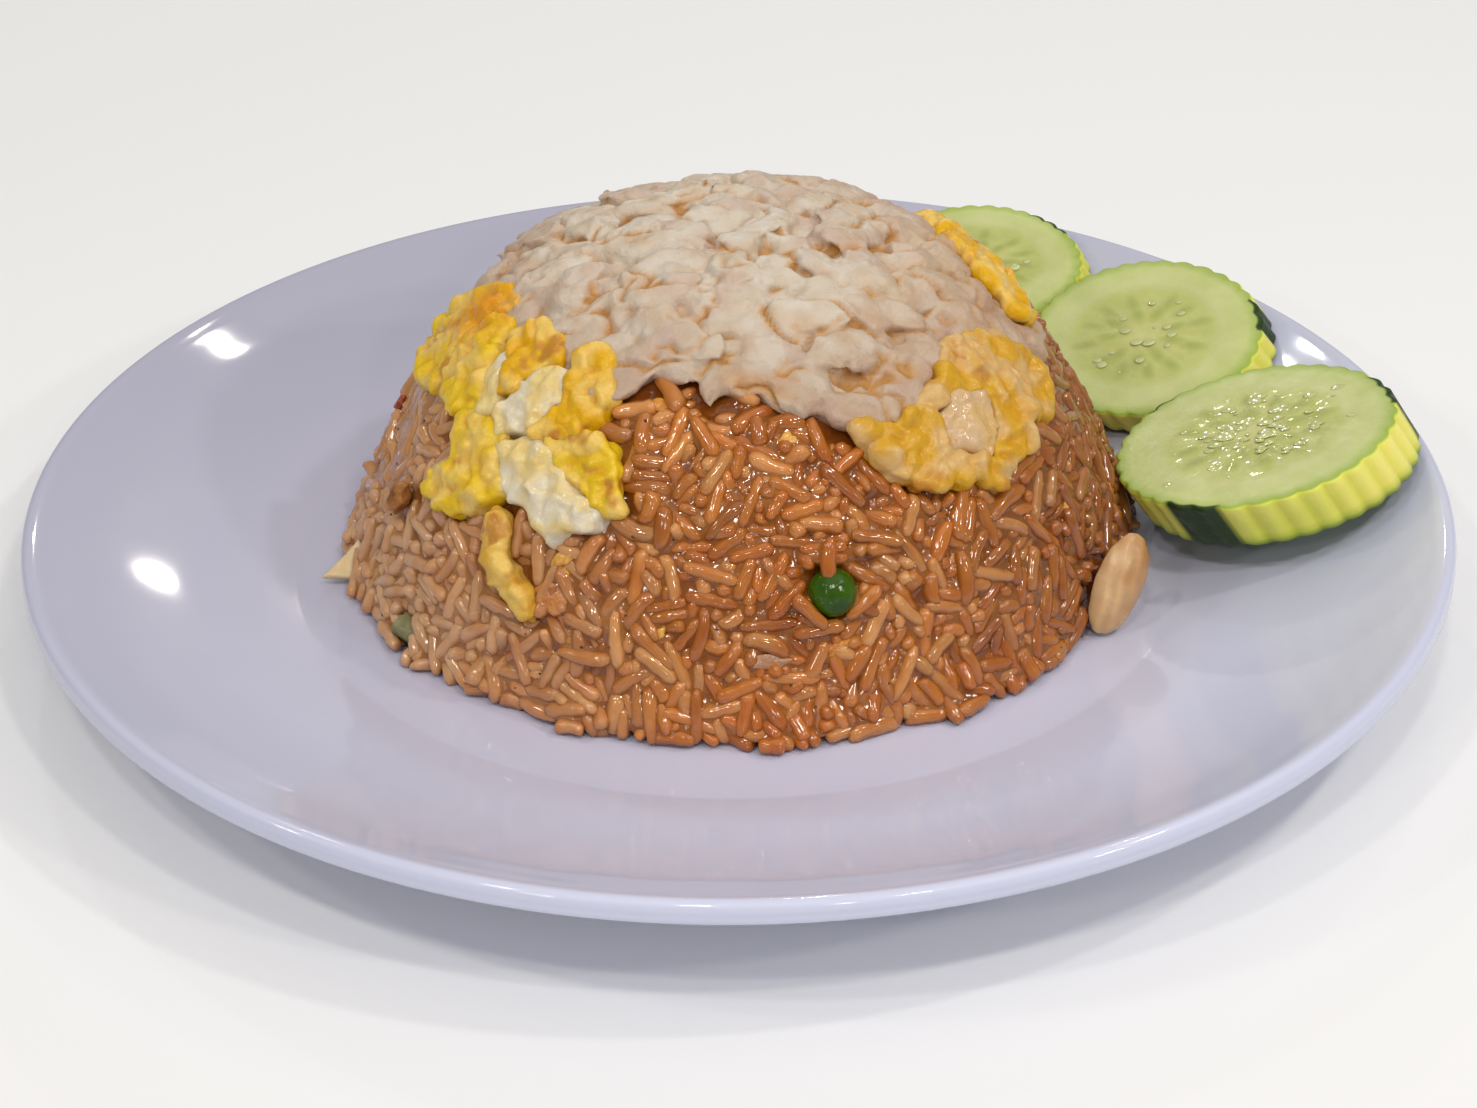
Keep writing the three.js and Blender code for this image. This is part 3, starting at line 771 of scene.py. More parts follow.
def remeshed(name, mesh, voxel):
    """The mesh as a piece with one even skin of small squares."""
    piece = smooth_object(name, mesh)
    modifier = piece.modifiers.new("even_skin", "REMESH")
    modifier.mode = "VOXEL"
    modifier.voxel_size = voxel * MM
    modifier.use_smooth_shade = True
    done = bpy.data.meshes.new_from_object(piece.evaluated_get(bpy.context.evaluated_depsgraph_get()))
    bpy.data.objects.remove(piece)
    done.name = name
    return smooth_object(name, done)


def calmed(piece, points, times):
    """The points of a piece after a number of moves towards the middle of their neighbours."""
    ends = np.empty(2 * len(piece.data.edges), np.int32)
    piece.data.edges.foreach_get("vertices", ends)
    first, second = ends.reshape(-1, 2).T
    count = np.bincount(ends, minlength=len(points))[:, None]
    for _ in range(times):
        total = [np.bincount(first, points[second, axis], len(points))
                 + np.bincount(second, points[first, axis], len(points)) for axis in range(3)]
        points = 0.5 * points + 0.5 * np.stack(total, 1) / count
    return points


def hollows(piece, points, times, depth):
    """How deep each point lies in a hollow, from 0 on open faces to 1 in a crease."""
    low = ((calmed(piece, points, times) - points) * normals_of(piece)).sum(1)
    return rising(low, 0, depth)


CORE_TURNS = 360
CORE_DEPTH = 2.0
CORE_FLOOR = WELL + 0.1
FILM_VOXEL = 0.83
FILM_CALM = 3
FILM_SUNK = 0.4


def rice_core():
    """The sticky middle of the mound, bumpy, and higher where the rice is mashed or sauce pools."""
    profile = [(0, CORE_FLOOR)]
    for height in MOUND_HEIGHT * (1 - (1 - np.linspace(0, 1, 90)) ** 2.0):
        point, _, _, outward = bowl_frame(0.0, height)
        point = point - (CORE_DEPTH + 0.8 * rising(height, 44, 54)) * outward
        profile.append((max(point[0] - MOUND_CENTRE[0], 0), max(point[2], CORE_FLOOR)))
    profile.append((0, profile[-1][1]))
    core = smooth_object("core", mesh_from("core", spun(profile, CORE_TURNS)))
    places = points_of(core)
    places[:, :2] += MOUND_CENTRE
    bumps = 1.0 * uneven(places, 3.2, 1) + 0.5 * uneven(places, 1.5, 2)
    smear = mashed(places) * rising(places[:, 2], 52, 46)
    pool = np.clip(3.0 * uneven(places, 8.0, 3) - 0.3, 0, 1) * rising(places[:, 2], 54, 48)
    raised = np.maximum((CORE_DEPTH - 1.2) * smear, 0.7 * pool)
    move = normals_of(core) * (bumps * (1 - 0.5 * smear) + raised)[:, None]
    move[places[:, 2] < WELL + 0.5] = 0
    set_points(core, places + move)
    return core


def stuck_together(core, frames):
    """Core and grains as one calmed skin: the sauce and starch that fill the gaps between the grains."""
    template = grain_template(6, 5, 0.05, 0.0, 5)
    grains = joined_copies("stuck_grains", template, frames, np.ones((len(frames), 3)))
    bm = bmesh.new()
    for piece in (core, grains):
        bm.from_mesh(piece.data)
        bpy.data.objects.remove(piece)
    mass = remeshed("rice_core", mesh_from("stuck", bm), FILM_VOXEL)
    points = calmed(mass, points_of(mass), FILM_CALM)
    set_points(mass, points)
    points = points - FILM_SUNK * normals_of(mass)
    points[:, 2] = np.maximum(points[:, 2], CORE_FLOOR)
    set_points(mass, points)
    return mass


def tint_mass(mass):
    """Dark sauce with painted shade deep down, and higher up sauce, pale paste on the left or brown on the
    right.
    """
    places = points_of(mass)
    depth, _ = wall_depth(places)
    # Painted shade: the deeper the mass lies, the nearer it comes to the dark sauce colour.
    share = np.clip(1.15 - depth / 1.6 + 0.6 * mashed(places), 0, 0.85)[:, None]
    paste = blend(SAUCE, PASTE, to_left(places))
    paste = blend(paste, PASTE, mashed(places)[:, None])
    paste = blend(paste, BROWN_PASTE, rising(places[:, 0], 30, 50)[:, None])
    colour_attribute(mass.data, "tint", blend(DARK_SAUCE_AND_SHADE, paste, share))


# Kinds of grain: bend, taper, how blunt the ends are.
GRAIN_KINDS = [(-0.16, 0.06, 4.5), (0.05, -0.16, 7), (0.12, 0.03, 3.5), (0.2, 0.14, 6), (0.28, -0.05, 9)]


def add_rice():
    rng = np.random.default_rng(5)
    frames = np.concatenate([grain_frames(rng), pea_grains()])
    mass = stuck_together(rice_core(), frames)
    tint_mass(mass)
    sticky = tinted("sticky_rice", (0.8, 0.66, 0.5), 260.0,
                    dict(Scale=600.0, Strength=1.0, Depth=0.0002, Detail=1.0), (400.0, 0.08, 0.2),
                    (0.2, 1.6, (1.0, 0.45, 0.2)), IOR=1.6)
    dress(mass, sticky, "rice", "rice_mound")
    shades = grain_shades(rng, frames)
    oily = tinted("oily_rice", (0.84, 0.70, 0.52), 240.0,
                  dict(Scale=800.0, Strength=1.0, Depth=0.00005, Detail=1.0), (700.0, 0.06, 0.16),
                  (0.3, 1.6, (1.0, 0.45, 0.2)), sauce=(0.93, 0.74, 0.50), Specular_IOR_Level=0.75)
    for number, kind in enumerate(GRAIN_KINDS):
        some = slice(number, None, len(GRAIN_KINDS))
        grains = joined_copies(f"rice_grains_{number + 1}_1", grain_template(7, 8, *kind), frames[some],
                               shades[some], sauce_and_painted_shade)
        dress(grains, oily, "rice", "rice_mound")


add_rice()

# Crab meat: steamed white meat pulled into flakes and pressed into the bottom of the bowl, so that it
# makes a flat cap of torn, fibrous pieces with cracks between them.
CRAB_EDGE = [
    (-180, 47), (-165, 44), (-150, 43), (-138, 45), (-126, 42), (-117, 46), (-108, 41), (-98, 38),
    (-88, 42), (-78, 46), (-66, 51), (-58, 50), (-46, 45), (-30, 46), (-16, 54), (-4, 51),
    (12, 45), (30, 42), (50, 45), (70, 48), (95, 46), (120, 49), (145, 46), (165, 48), (180, 47),
]
CRAB_VOXEL = 0.54
CRAB_TOP = 67.0
CRAB_PROUD = 1.8
CRAB_BASE_SUNK = 2.6
CAP_FLAKES = 92
FLAKE_DRAW = np.array([0.62, 1.0, 1.0])
FIBRE_DRAW = np.array([0.5, 1.0, 1.0])
CRAB_CREAM = np.array([0.64, 0.525, 0.385])
CRAB_PINK = np.array([0.62, 0.475, 0.375])
CRAB_PALE = np.array([0.69, 0.60, 0.49])
# Juice colour, which also paints shade in hollows and creases; the deepest creases get a painted gap shade.
CRAB_JUICE_AND_SHADE = np.array([0.55, 0.28, 0.08])
CRAB_GAP_SHADE = np.array([0.42, 0.21, 0.055])
CRAB_WHOLE_SHADE = np.array([0.895, 0.935, 0.985])
CRAB_EDGE_SHADE = np.array([0.81, 0.72, 0.66])
CRAB_RIGHT_SHADE = np.array([0.04, 0.13, 0.2])
# Flakes that hang over the edge: angle, height, turn, (length, width, thickness), distance out.
EDGE_FLAKES = [
    (-168, 51.5, 20, (13, 9, 4.6), -0.4), (-159, 52.0, 60, (14, 9, 4.6), 0.0),
    (-147, 51.0, 30, (12, 9, 4.4), -0.3), (-134, 51.5, 15, (14, 10, 4.6), -0.4),
    (-125, 52.5, -15, (12, 9, 4.6), -0.4), (-116, 50.8, 62, (15, 8, 4.8), 0.9),
    (-106, 53.0, -20, (11, 8, 4.6), -0.4), (-98, 54.0, 0, (11, 7, 4.4), -0.4),
    (-90, 51.5, 10, (9, 7, 4.6), 0.0), (-81, 49.5, 125, (11, 5.5, 4.4), 0.5),
    (-75, 50.5, 20, (11, 8, 4.8), -0.2), (-66, 47.0, 5, (12, 8, 4.8), 0.2),
    (-58, 46.2, -8, (15, 8, 5.0), 0.5), (-50, 49.5, 20, (13, 8, 4.8), 0.0),
    (-42, 48.8, 70, (11, 7, 4.4), 0.0), (-31, 48.5, 20, (12, 8, 4.6), 0.0),
    (-20, 48.5, 60, (12, 8, 4.6), -0.2), (-17, 44.0, 80, (13, 8, 4.2), 0.0),
    (-9, 41.5, 100, (10, 7, 4.0), -0.2),
]


def cap_frame(x, y):
    """A place on the bowl's form near the top, given from above, and the outward direction there."""
    radius = math.hypot(x, y)
    fall = float(bowl_height(max(radius - 0.2, 0)) - bowl_height(radius + 0.2)) / 0.4
    outward = np.array([x / max(radius, 0.1) * fall, y / max(radius, 0.1) * fall, 1.0])
    point = np.array([MOUND_CENTRE[0] + x, MOUND_CENTRE[1] + y, WELL + float(bowl_height(radius))])
    return point, outward / np.linalg.norm(outward)


def flake_places(rng):
    """Places, directions and sizes of all flakes: the front edge's one by one, then the rest evenly."""
    flakes = []
    for angle, height, turn, size, out in EDGE_FLAKES:
        point, sideways, uphill, outward = bowl_frame(angle, height)
        flakes.append((point + (out - 1.3) * outward, lying(sideways, uphill, turn), outward, size))
    for number in range(CAP_FLAKES):
        angle = number * GOLDEN_ANGLE % 360
        bearing = (angle + 180) % 360 - 180
        share = math.sqrt((number + 0.5) / CAP_FLAKES)
        inset = 3.8 if -168 < bearing < -6 else 2.0
        radius = share * (float(np.interp(bearing, *zip(*CRAB_EDGE))) - inset) + rng.normal(0, 0.7)
        point, outward = cap_frame(radius * math.cos(math.radians(angle)),
                                   radius * math.sin(math.radians(angle)))
        turned = rng.normal(0, 0.6)
        outward = outward + rng.normal(0, 0.26, 3) * (1.1 - 0.6 * share)
        outward /= np.linalg.norm(outward)
        along = np.array([math.cos(turned), math.sin(turned), 0.0])
        along -= along.dot(outward) * outward
        along /= np.linalg.norm(along)
        size = (rng.uniform(10, 20), rng.uniform(6.5, 10), rng.uniform(4.6, 6.2))
        flakes.append((point + rng.uniform(-3.0, -0.5) * outward, along, outward, size))
    return flakes


def torn_flake(size, seed):
    """One torn flake: a flattened ball pushed out of shape by noise."""
    bm = bmesh.new()
    bmesh.ops.create_icosphere(bm, subdivisions=3, radius=0.5)
    for vert in bm.verts:
        place = vert.co * 2.2 + Vector((seed * 3.1, seed * 1.7, seed * 0.9))
        vert.co *= 1 + 0.25 * noise.noise(place) + 0.08 * noise.noise(place * 2.7)
    bmesh.ops.scale(bm, vec=size, verts=bm.verts)
    return bm


def solid_copy(name, node):
    """A merged copy of a CAD node's mesh, to be worked into a finer piece."""
    bm = bmesh.new()
    bm.from_mesh(frame["nodes"][node].data)
    bmesh.ops.remove_doubles(bm, verts=bm.verts, dist=1e-6)
    return mesh_from(name, bm)


def pressed_flakes(flakes):
    """The flakes on the sunk form of the solid as one skin, pressed in where they stand too proud."""
    bm = bmesh.new()
    bm.from_mesh(solid_copy("crab_base", "crab_topping"))
    bm.normal_update()
    for vert in bm.verts:
        vert.co -= CRAB_BASE_SUNK * MM * vert.normal
    for number, (centre, along, outward, size) in enumerate(flakes):
        matrix = Matrix(np.stack([along, np.cross(outward, along), outward], 1).tolist()).to_4x4()
        matrix.translation = Vector(centre)
        flake = torn_flake(size, number + 1)
        bmesh.ops.transform(flake, matrix=matrix, verts=flake.verts)
        bmesh.ops.scale(flake, vec=(MM, MM, MM), verts=flake.verts)
        mesh = mesh_from("flake", flake)
        bm.from_mesh(mesh)
        bpy.data.meshes.remove(mesh)
    crab = remeshed("crab_flakes", mesh_from("crab_lumps", bm), CRAB_VOXEL)
    points = calmed(crab, points_of(crab), 3)
    depth, outward = wall_depth(points)
    points -= (0.65 * np.maximum(-0.7 - depth, 0))[:, None] * outward
    set_points(crab, points)
    return crab, points


def flake_creases(points, flakes):
    """Creases between flakes and along long soft folds, 0 to 1, and each point's nearest flake."""
    cells = tree_of([flake[0] * FLAKE_DRAW for flake in flakes])
    warped = points + 1.8 * uneven_shift(points, 5.0, 31) + 0.8 * uneven_shift(points, 2.0, 32)
    found = [cells.find_n(point, 2) for point in warped * FLAKE_DRAW]
    nearest = np.array([first[1] for first, _ in found])
    apart = np.array([second[2] - first[2] for first, second in found])
    crease = rising(apart, 1.5, 0) * np.clip(0.3 + 2.2 * uneven(points, 9.0, 33), 0, 1)
    swept = points * FIBRE_DRAW + 1.6 * uneven_shift(points, 6.0, 41)
    fold = rising(np.abs(uneven(swept, 9.5, 44)), 0.09, 0)
    crease = np.maximum(crease, fold * np.clip(0.4 + 2.5 * uneven(points, 12.0, 43), 0, 1))
    return crease**2 * (3 - 2 * crease), nearest


def tint_crab(crab, points, hue, crease, pits):
    """Cream, pink and pale flakes, darker at the edge and on the right, juice and painted shade in creases.
    """
    pink = np.clip(0.2 + 0.6 * hue + 1.2 * uneven(points, 9.0, 14), 0, 1)[:, None]
    pale = np.clip(0.9 - 1.1 * hue + 1.6 * uneven(points, 4.5, 15), 0, 1)[:, None]
    # Painted shade: hollows, pits and creases darken towards the juice colour, the deepest to the gap
    # shade; the stain noise is juice.
    deep = np.maximum(hollows(crab, points, 40, 0.8), 0.7 * hollows(crab, points, 8, 0.3))
    stain = 0.8 * (uneven(points, 6.0, 16) - 0.3)
    juice_and_shade = np.clip(0.75 * deep + 0.5 * pits + 0.6 * crease + stain, 0, 0.95)[:, None]
    radius = np.hypot(points[:, 0] - MOUND_CENTRE[0], points[:, 1] - MOUND_CENTRE[1])
    edge = np.minimum(rising(radius, 30, 48), 0.85)[:, None]
    right = rising(points[:, 0], 12, 37)[:, None]
    tint = blend(blend(CRAB_CREAM, CRAB_PINK, pink), CRAB_PALE, pale)
    tint = blend(tint, tint * CRAB_EDGE_SHADE, edge) * CRAB_WHOLE_SHADE * (1 - right * CRAB_RIGHT_SHADE)
    tint = blend(tint, CRAB_JUICE_AND_SHADE, juice_and_shade)
    tint = blend(tint, CRAB_GAP_SHADE, np.clip(2.2 * juice_and_shade - 1.3, 0, 0.8))
    colour_attribute(crab.data, "tint", tint)


def add_crab():
    rng = np.random.default_rng(21)
    flakes = flake_places(rng)
    crab, points = pressed_flakes(flakes)
    crease, nearest = flake_creases(points, flakes)
    pits = 5 * np.clip(uneven(points + 1.2 * uneven_shift(points, 2.5, 8), 3.8, 9) - 0.55, 0, 0.2)
    drawn = points * FIBRE_DRAW + 0.8 * uneven_shift(points, 4.0, 17)
    shred = 0.6 - np.abs(uneven(drawn, 1.7, 4)) * 2
    rise = 0.5 * uneven(drawn, 3.2, 2) + 0.2 * shred + 0.1 * uneven(points, 1.0, 5)
    rise = rise - 0.6 * pits - 1.3 * crease
    torn = 0.4 * uneven_shift(points, 3.0, 12) + 0.15 * uneven_shift(points, 1.5, 13)
    points = calmed(crab, points + normals_of(crab) * rise[:, None] + torn, 1)
    depth, outward = wall_depth(points)
    points -= np.maximum(-CRAB_PROUD - depth, 0)[:, None] * outward
    points[:, 2] = np.minimum(points[:, 2], CRAB_TOP)
    set_points(crab, points)
    tint_crab(crab, points, rng.random(len(flakes))[nearest], crease, pits)
    meat = tinted("crab_meat", (0.94, 0.88, 0.8), 260.0, dict(Scale=800.0, Strength=0.6, Depth=0.0006),
                  (300.0, 0.28, 0.5), (0.25, 2.0, (1.0, 0.7, 0.5)), Specular_IOR_Level=0.35)
    dress(crab, meat, "crab", "crab_topping")


add_crab()

# Scrambled egg: soft curds of yolk and white, broken up and pressed into the sides of the mound. Each
# patch keeps its solid's form, with a fine bubbly surface worked into it.
EGG_VOXEL = 0.42
YOLK = np.array([0.71, 0.41, 0.004])
YOLK_LEMON = np.array([0.74, 0.51, 0.012])
YOLK_ORANGE = np.array([0.68, 0.29, 0.003])
YOLK_PALE = np.array([0.76, 0.54, 0.14])
YOLK_WARM = np.array([0.60, 0.34, 0.016])
YOLK_CREAM = np.array([0.63, 0.42, 0.18])
YOLK_BROWN = np.array([0.50, 0.215, 0.03])
STRAND = np.array([0.66, 0.40, 0.06])
WHITE = np.array([0.71, 0.65, 0.51])
WHITE_YELLOW = np.array([0.74, 0.58, 0.24])
WHITE_WARM = np.array([0.60, 0.42, 0.25])
ORANGE_SPOT = np.array([-43.0, -6.0, 56.0])
# Patches of yolk and of white: node, and the colours of its body, its creases (painted shade) and its
# patches.
YOLK_PATCHES = [
    ("egg_left_shoulder", YOLK_LEMON, YOLK_ORANGE, YOLK_PALE),
    ("egg_left_edge", YOLK_LEMON, YOLK_ORANGE, YOLK_PALE),
    ("egg_left_top", YOLK, YOLK_ORANGE, YOLK_PALE),
    ("egg_left_upper", YOLK, YOLK_ORANGE, YOLK_PALE),
    ("egg_left_lower", YOLK_LEMON, YOLK_ORANGE, YOLK_PALE),
    ("egg_left_corner", YOLK_LEMON, YOLK_ORANGE, YOLK_PALE),
    ("egg_right", YOLK_WARM, YOLK_ORANGE, YOLK_CREAM),
    ("egg_back_right", YOLK, YOLK_ORANGE, YOLK_PALE),
    ("egg_strand", STRAND, YOLK_ORANGE, YOLK_PALE),
]
WHITE_PATCHES = [
    ("egg_white_left_upper", WHITE, WHITE_YELLOW, WHITE_YELLOW),
    ("egg_white_left_sliver", WHITE, WHITE_YELLOW, WHITE_YELLOW),
    ("egg_white_left_lower", WHITE, WHITE_YELLOW, WHITE_YELLOW),
    ("egg_white_right", WHITE_WARM, WHITE_YELLOW, YOLK_CREAM),
]


def curd(node, lumps, ragged, seed):
    """A node's solid as a soft folded curd."""
    piece = remeshed(f"curd_{node}", solid_copy(f"curd_{node}", node), EGG_VOXEL)
    points = calmed(piece, points_of(piece), 5)
    set_points(piece, points)
    fold = np.abs(uneven(points + 1.5 * uneven_shift(points, 4.0, seed + 5), 4.2, seed)) - 0.15
    bubble = np.abs(uneven(points, 2.0, seed + 1)) - 0.2
    rise = lumps * (3.4 * fold + 0.9 * bubble) + 0.06 * uneven(points, 0.9, seed + 2) + 0.5
    edge = ragged * (uneven_shift(points, 3.2, seed + 3) + 0.4 * uneven_shift(points, 1.5, seed + 4))
    points = calmed(piece, points + normals_of(piece) * rise[:, None] + edge, 2)
    set_points(piece, points)
    return piece, points


def tint_curd(piece, points, body, hollow, patch, seed):
    """Colours a curd: its body, with painted shade deeper in its creases, patches and, on yolk, brown
    flecks.
    """
    # Painted shade: the creases take the deeper colour.
    deep = (0.8 * hollows(piece, points, 25, 0.7))[:, None]
    share = np.clip(0.3 + 3.0 * uneven(points, 5.5, seed), 0, 0.9)[:, None]
    warped = points + 2.0 * uneven_shift(points, 2.5, seed + 51)
    fried = np.clip(4 * uneven(warped, 5.0, seed + 50) - 1.3, 0, 0.85)[:, None] * (body[2] < 0.2)
    spot = np.clip(1.3 - np.linalg.norm(points - ORANGE_SPOT, axis=1) / 8, 0, 1)[:, None]
    tint = blend(blend(body, patch, share), hollow, deep)
    tint = blend(blend(tint, YOLK_BROWN, fried), YOLK_ORANGE, spot)
    colour_attribute(piece.data, "tint", tint)


def add_egg(patches, name, slot, rough, lumps, ragged, first_seed):
    material = tinted(name, (0.96, 0.88, 0.65), 420.0,
                      dict(Scale=700.0, Strength=0.5, Depth=0.0005, Detail=2.0),
                      (400.0, rough, rough + 0.22), (0.25, 2.0, (1.0, 0.7, 0.25)), Specular_IOR_Level=0.35)
    for number, (node, *colours) in enumerate(patches):
        piece, points = curd(node, lumps, ragged, first_seed + 7 * number)
        tint_curd(piece, points, *colours, number)
        dress(piece, material, slot, node)


add_egg(YOLK_PATCHES, "egg_yolk_curd", "egg", rough=0.2, lumps=0.55, ragged=0.75, first_seed=10)
add_egg(WHITE_PATCHES, "egg_white_curd", "egg_white", rough=0.09, lumps=0.2, ragged=0.9, first_seed=90)

# Cucumber: three slices cut on a slant from a cucumber fluted with a fork and peeled in stripes. Pale
# wet flesh round a paler seed core, with strips of dark skin left on the rim.
FLUTES = 34
FLUTE_DEPTH = 0.75
SLICE_STEPS = FLUTES * 7
FACE_SPREAD = [22, 22, 0]
BODY_SPREAD = [22, 22, 1]
SLICES = [
    {"node": "cucumber_slice_back", "centre": (52, 89.3, 21.5), "tilt": (-7.7, -16.5),
     "half": (22.5, 18.5), "turn": -26, "thick": 5.5, "slant": (2.2, 0.5), "skin": [(60, 14)],
     "seed_turn": 20, "wet": 0.2, "beads": 5},
    {"node": "cucumber_slice_middle", "centre": (82, 53.3, 21), "tilt": (-16, -13),
     "half": (24.8, 22.7), "turn": -57, "thick": 7, "slant": (2.4, 1), "skin": [(52, 12), (215, 7)],
     "seed_turn": 65, "wet": 0.45, "beads": 18},
    {"node": "cucumber_slice_front", "centre": (93.5, -0.5, 27.3), "tilt": (-16.2, 3.4),
     "half": (26.9, 25.5), "turn": 66, "thick": 11.2, "slant": (3.6, 4.3),
     "skin": [(168, 12), (302, 14), (60, 7)], "seed_turn": -20, "wet": 0.9, "beads": 80},
]
# Seeds in a wedge: distance from the middle, angles from the wedge's own direction.
SEED_ROWS = [(0.29, [1.25 * 0.52 * step for step in (-1, 0, 1)]),
             (0.45, [1.1 * 0.44 * step for step in (-1.5, -0.5, 0.5, 1.5)])]
SEED_LENGTH = 0.125
SEED_WIDTH = 0.058


def slice_frame(piece):
    """The slice's own directions: along, across and up from its face."""
    up = Vector((math.sin(math.radians(piece["tilt"][0])), math.sin(math.radians(piece["tilt"][1])), 0))
    up.z = math.sqrt(1 - up.x**2 - up.y**2)
    along = Vector((0, 1, 0)).cross(up).normalized()
    return [np.array(direction) for direction in (along, up.cross(along), up)]


def slice_profile(thick):
    """Half section of a round slice of radius 1 (radius, millimetres below the face)."""
    top = [(radius, 0.0) for radius in np.linspace(0, 0.975, 46)]
    wall = [(1.0, -depth) for depth in np.linspace(1.2, thick - 0.6, 7)]
    return [*top, (0.99, -0.12), (1.0, -0.45), *wall, (0.985, -thick), (0.6, -thick), (0, -thick)]


def seed_lumps(rng, x, y, seed_turn):
    """Where seeds lie under the face, 0 to 1: three wedges of them round the middle."""
    seeds = np.zeros(len(x))
    for wedge in range(3):
        for radius, angles in SEED_ROWS:
            for offset in angles:
                angle = math.radians(seed_turn + 120 * wedge) + offset
                shift_x, shift_y = rng.normal(0, 0.02, 2)
                dx = x - radius * math.cos(angle) - shift_x
                dy = y - radius * math.sin(angle) - shift_y
                u = (dx * math.cos(angle) + dy * math.sin(angle)) / SEED_LENGTH
                v = (-dx * math.sin(angle) + dy * math.cos(angle)) / SEED_WIDTH
                seeds = np.maximum(seeds, np.clip(1.25 - np.hypot(u, v), 0, 1))
    return seeds


def add_slice(piece, material, number):
    rng = np.random.default_rng(60 + number)
    name = f"wet_{piece['node']}"
    slice_object = smooth_object(name, mesh_from(name, spun(slice_profile(piece["thick"]), SLICE_STEPS)))
    raw = points_of(slice_object)
    x, y, level = raw.T
    radius = np.hypot(x, y)
    around = np.arctan2(y, x)
    wave = np.abs(np.sin(around * FLUTES / 2 + 0.25 * np.sin(around * 5)))
    flute = 1 - (FLUTE_DEPTH / piece["half"][0]) * (1 - wave) * rising(radius, 0.86, 0.98)
    on_face = level > -0.2
    seeds = seed_lumps(rng, x, y, piece["seed_turn"]) * on_face
    flat = raw * FACE_SPREAD
    deep = raw * BODY_SPREAD
    wander = 0.1 * uneven(flat, 6.0, number + 21)
    pulp = rising(radius - wander, 0.66, 0.5) * on_face
    grain = uneven(deep, 2.2, number + 3)
    relief = 0.16 * seeds - 0.12 * pulp + 0.16 * pulp * grain + 0.04 * grain * on_face
    turn = math.radians(piece["turn"])
    across = piece["half"][0] * flute * x
    along = piece["half"][1] * flute * y
    down = -level / piece["thick"]
    flat_x = across * math.cos(turn) - along * math.sin(turn) + piece["slant"][0] * down
    flat_y = across * math.sin(turn) + along * math.cos(turn) + piece["slant"][1] * down
    height = level + relief + 0.25 * uneven(flat, 14.0, number + 9) * on_face
    ex, ey, ez = slice_frame(piece)
    points = np.array(piece["centre"]) + flat_x[:, None] * ex + flat_y[:, None] * ey + height[:, None] * ez
    set_points(slice_object, points)
    skin = np.zeros(len(raw))
    for middle, width in piece["skin"]:
        away = np.abs((np.degrees(around) - middle + 180) % 360 - 180)
        skin = np.maximum(skin, rising(away - width, 0.6, -0.6))
    skin *= rising(radius, 0.96, 0.97)
    drops = np.clip(5 * uneven(deep, 1.3, number + 15) - 0.4, 0, 1)
    wet = on_face * drops * piece["wet"] * rising(radius - wander, 0.6, 0.48)
    colour_attribute(slice_object.data, "flesh", np.stack([radius, seeds, skin], 1))
    colour_attribute(slice_object.data, "wall", np.stack([down, wave, 1.0 - on_face], 1))
    colour_attribute(slice_object.data, "wet", np.repeat(wet[:, None], 3, 1))
    dress(slice_object, material, "cucumber", piece["node"])


def ramp(tree, place, *stops):
    """A colour along a ramp of (position, colour) stops."""
    made = new_node(tree, "ValToRGB", Fac=place)
    elements = made.color_ramp.elements
    while len(elements) < len(stops):
        elements.new(0.5)
    for element, (position, colour) in zip(elements, stops):
        element.position = position
        element.color = (*colour, 1)
    return made.outputs["Color"]


def wet_cucumber():
    """Flesh in rings with seeds, a fluted wall with a dark foot, strips of skin and a wet coat."""
    material, tree, shader = new_material("wet_cucumber")
    flesh = new_node(tree, "SeparateColor", Color=stored(tree, "flesh")["Color"]).outputs
    wall = new_node(tree, "SeparateColor", Color=stored(tree, "wall")["Color"]).outputs
    rings = ramp(tree, flesh["Red"], (0.0, (0.60, 0.61, 0.27)), (0.22, (0.53, 0.55, 0.20)),
                 (0.58, (0.52, 0.56, 0.20)), (0.68, (0.58, 0.62, 0.29)), (0.88, (0.55, 0.61, 0.25)),
                 (0.97, (0.38, 0.49, 0.11)), (1.0, (0.28, 0.40, 0.06)))
    streaks = effect(tree, MOTTLE, Colour_B=(0.88, 0.9, 0.78), Scale=130.0)["Colour"]
    face = mixed(tree, 1.0, rings, streaks, "MULTIPLY")
    seeded = mixed(tree, flesh["Green"], face, (0.37, 0.42, 0.11))
    flutes = ramp(tree, wall["Green"], (0.0, (0.82, 0.76, 0.12)), (0.5, (0.89, 0.81, 0.16)),
                  (1.0, (0.92, 0.83, 0.21)))
    foot = ramp(tree, wall["Red"], (0.0, (0.9, 1.0, 0.8)), (0.12, (1.0, 1.0, 1.0)),
                (0.72, (0.95, 0.98, 0.85)), (0.86, (0.72, 0.82, 0.5)), (0.97, (0.2, 0.33, 0.15)))
    green = effect(tree, MOTTLE, Colour_B=(0.82, 0.93, 0.6), Scale=32.0)["Colour"]
    sides = mixed(tree, 1.0, mixed(tree, 1.0, flutes, foot, "MULTIPLY"), green, "MULTIPLY")
    walled = mixed(tree, wall["Blue"], seeded, sides)
    skinned = mixed(tree, flesh["Blue"], walled, (0.018, 0.045, 0.006))
    set_shader(tree, shader, skinned, dict(Scale=900.0, Strength=0.35, Depth=0.0004), (350.0, 0.3, 0.55),
           (0.3, 3.0, (0.7, 1.0, 0.3)), Specular_IOR_Level=0.3,
           Coat_Weight=stored(tree, "wet")["Fac"], Coat_Roughness=0.08)
    return material


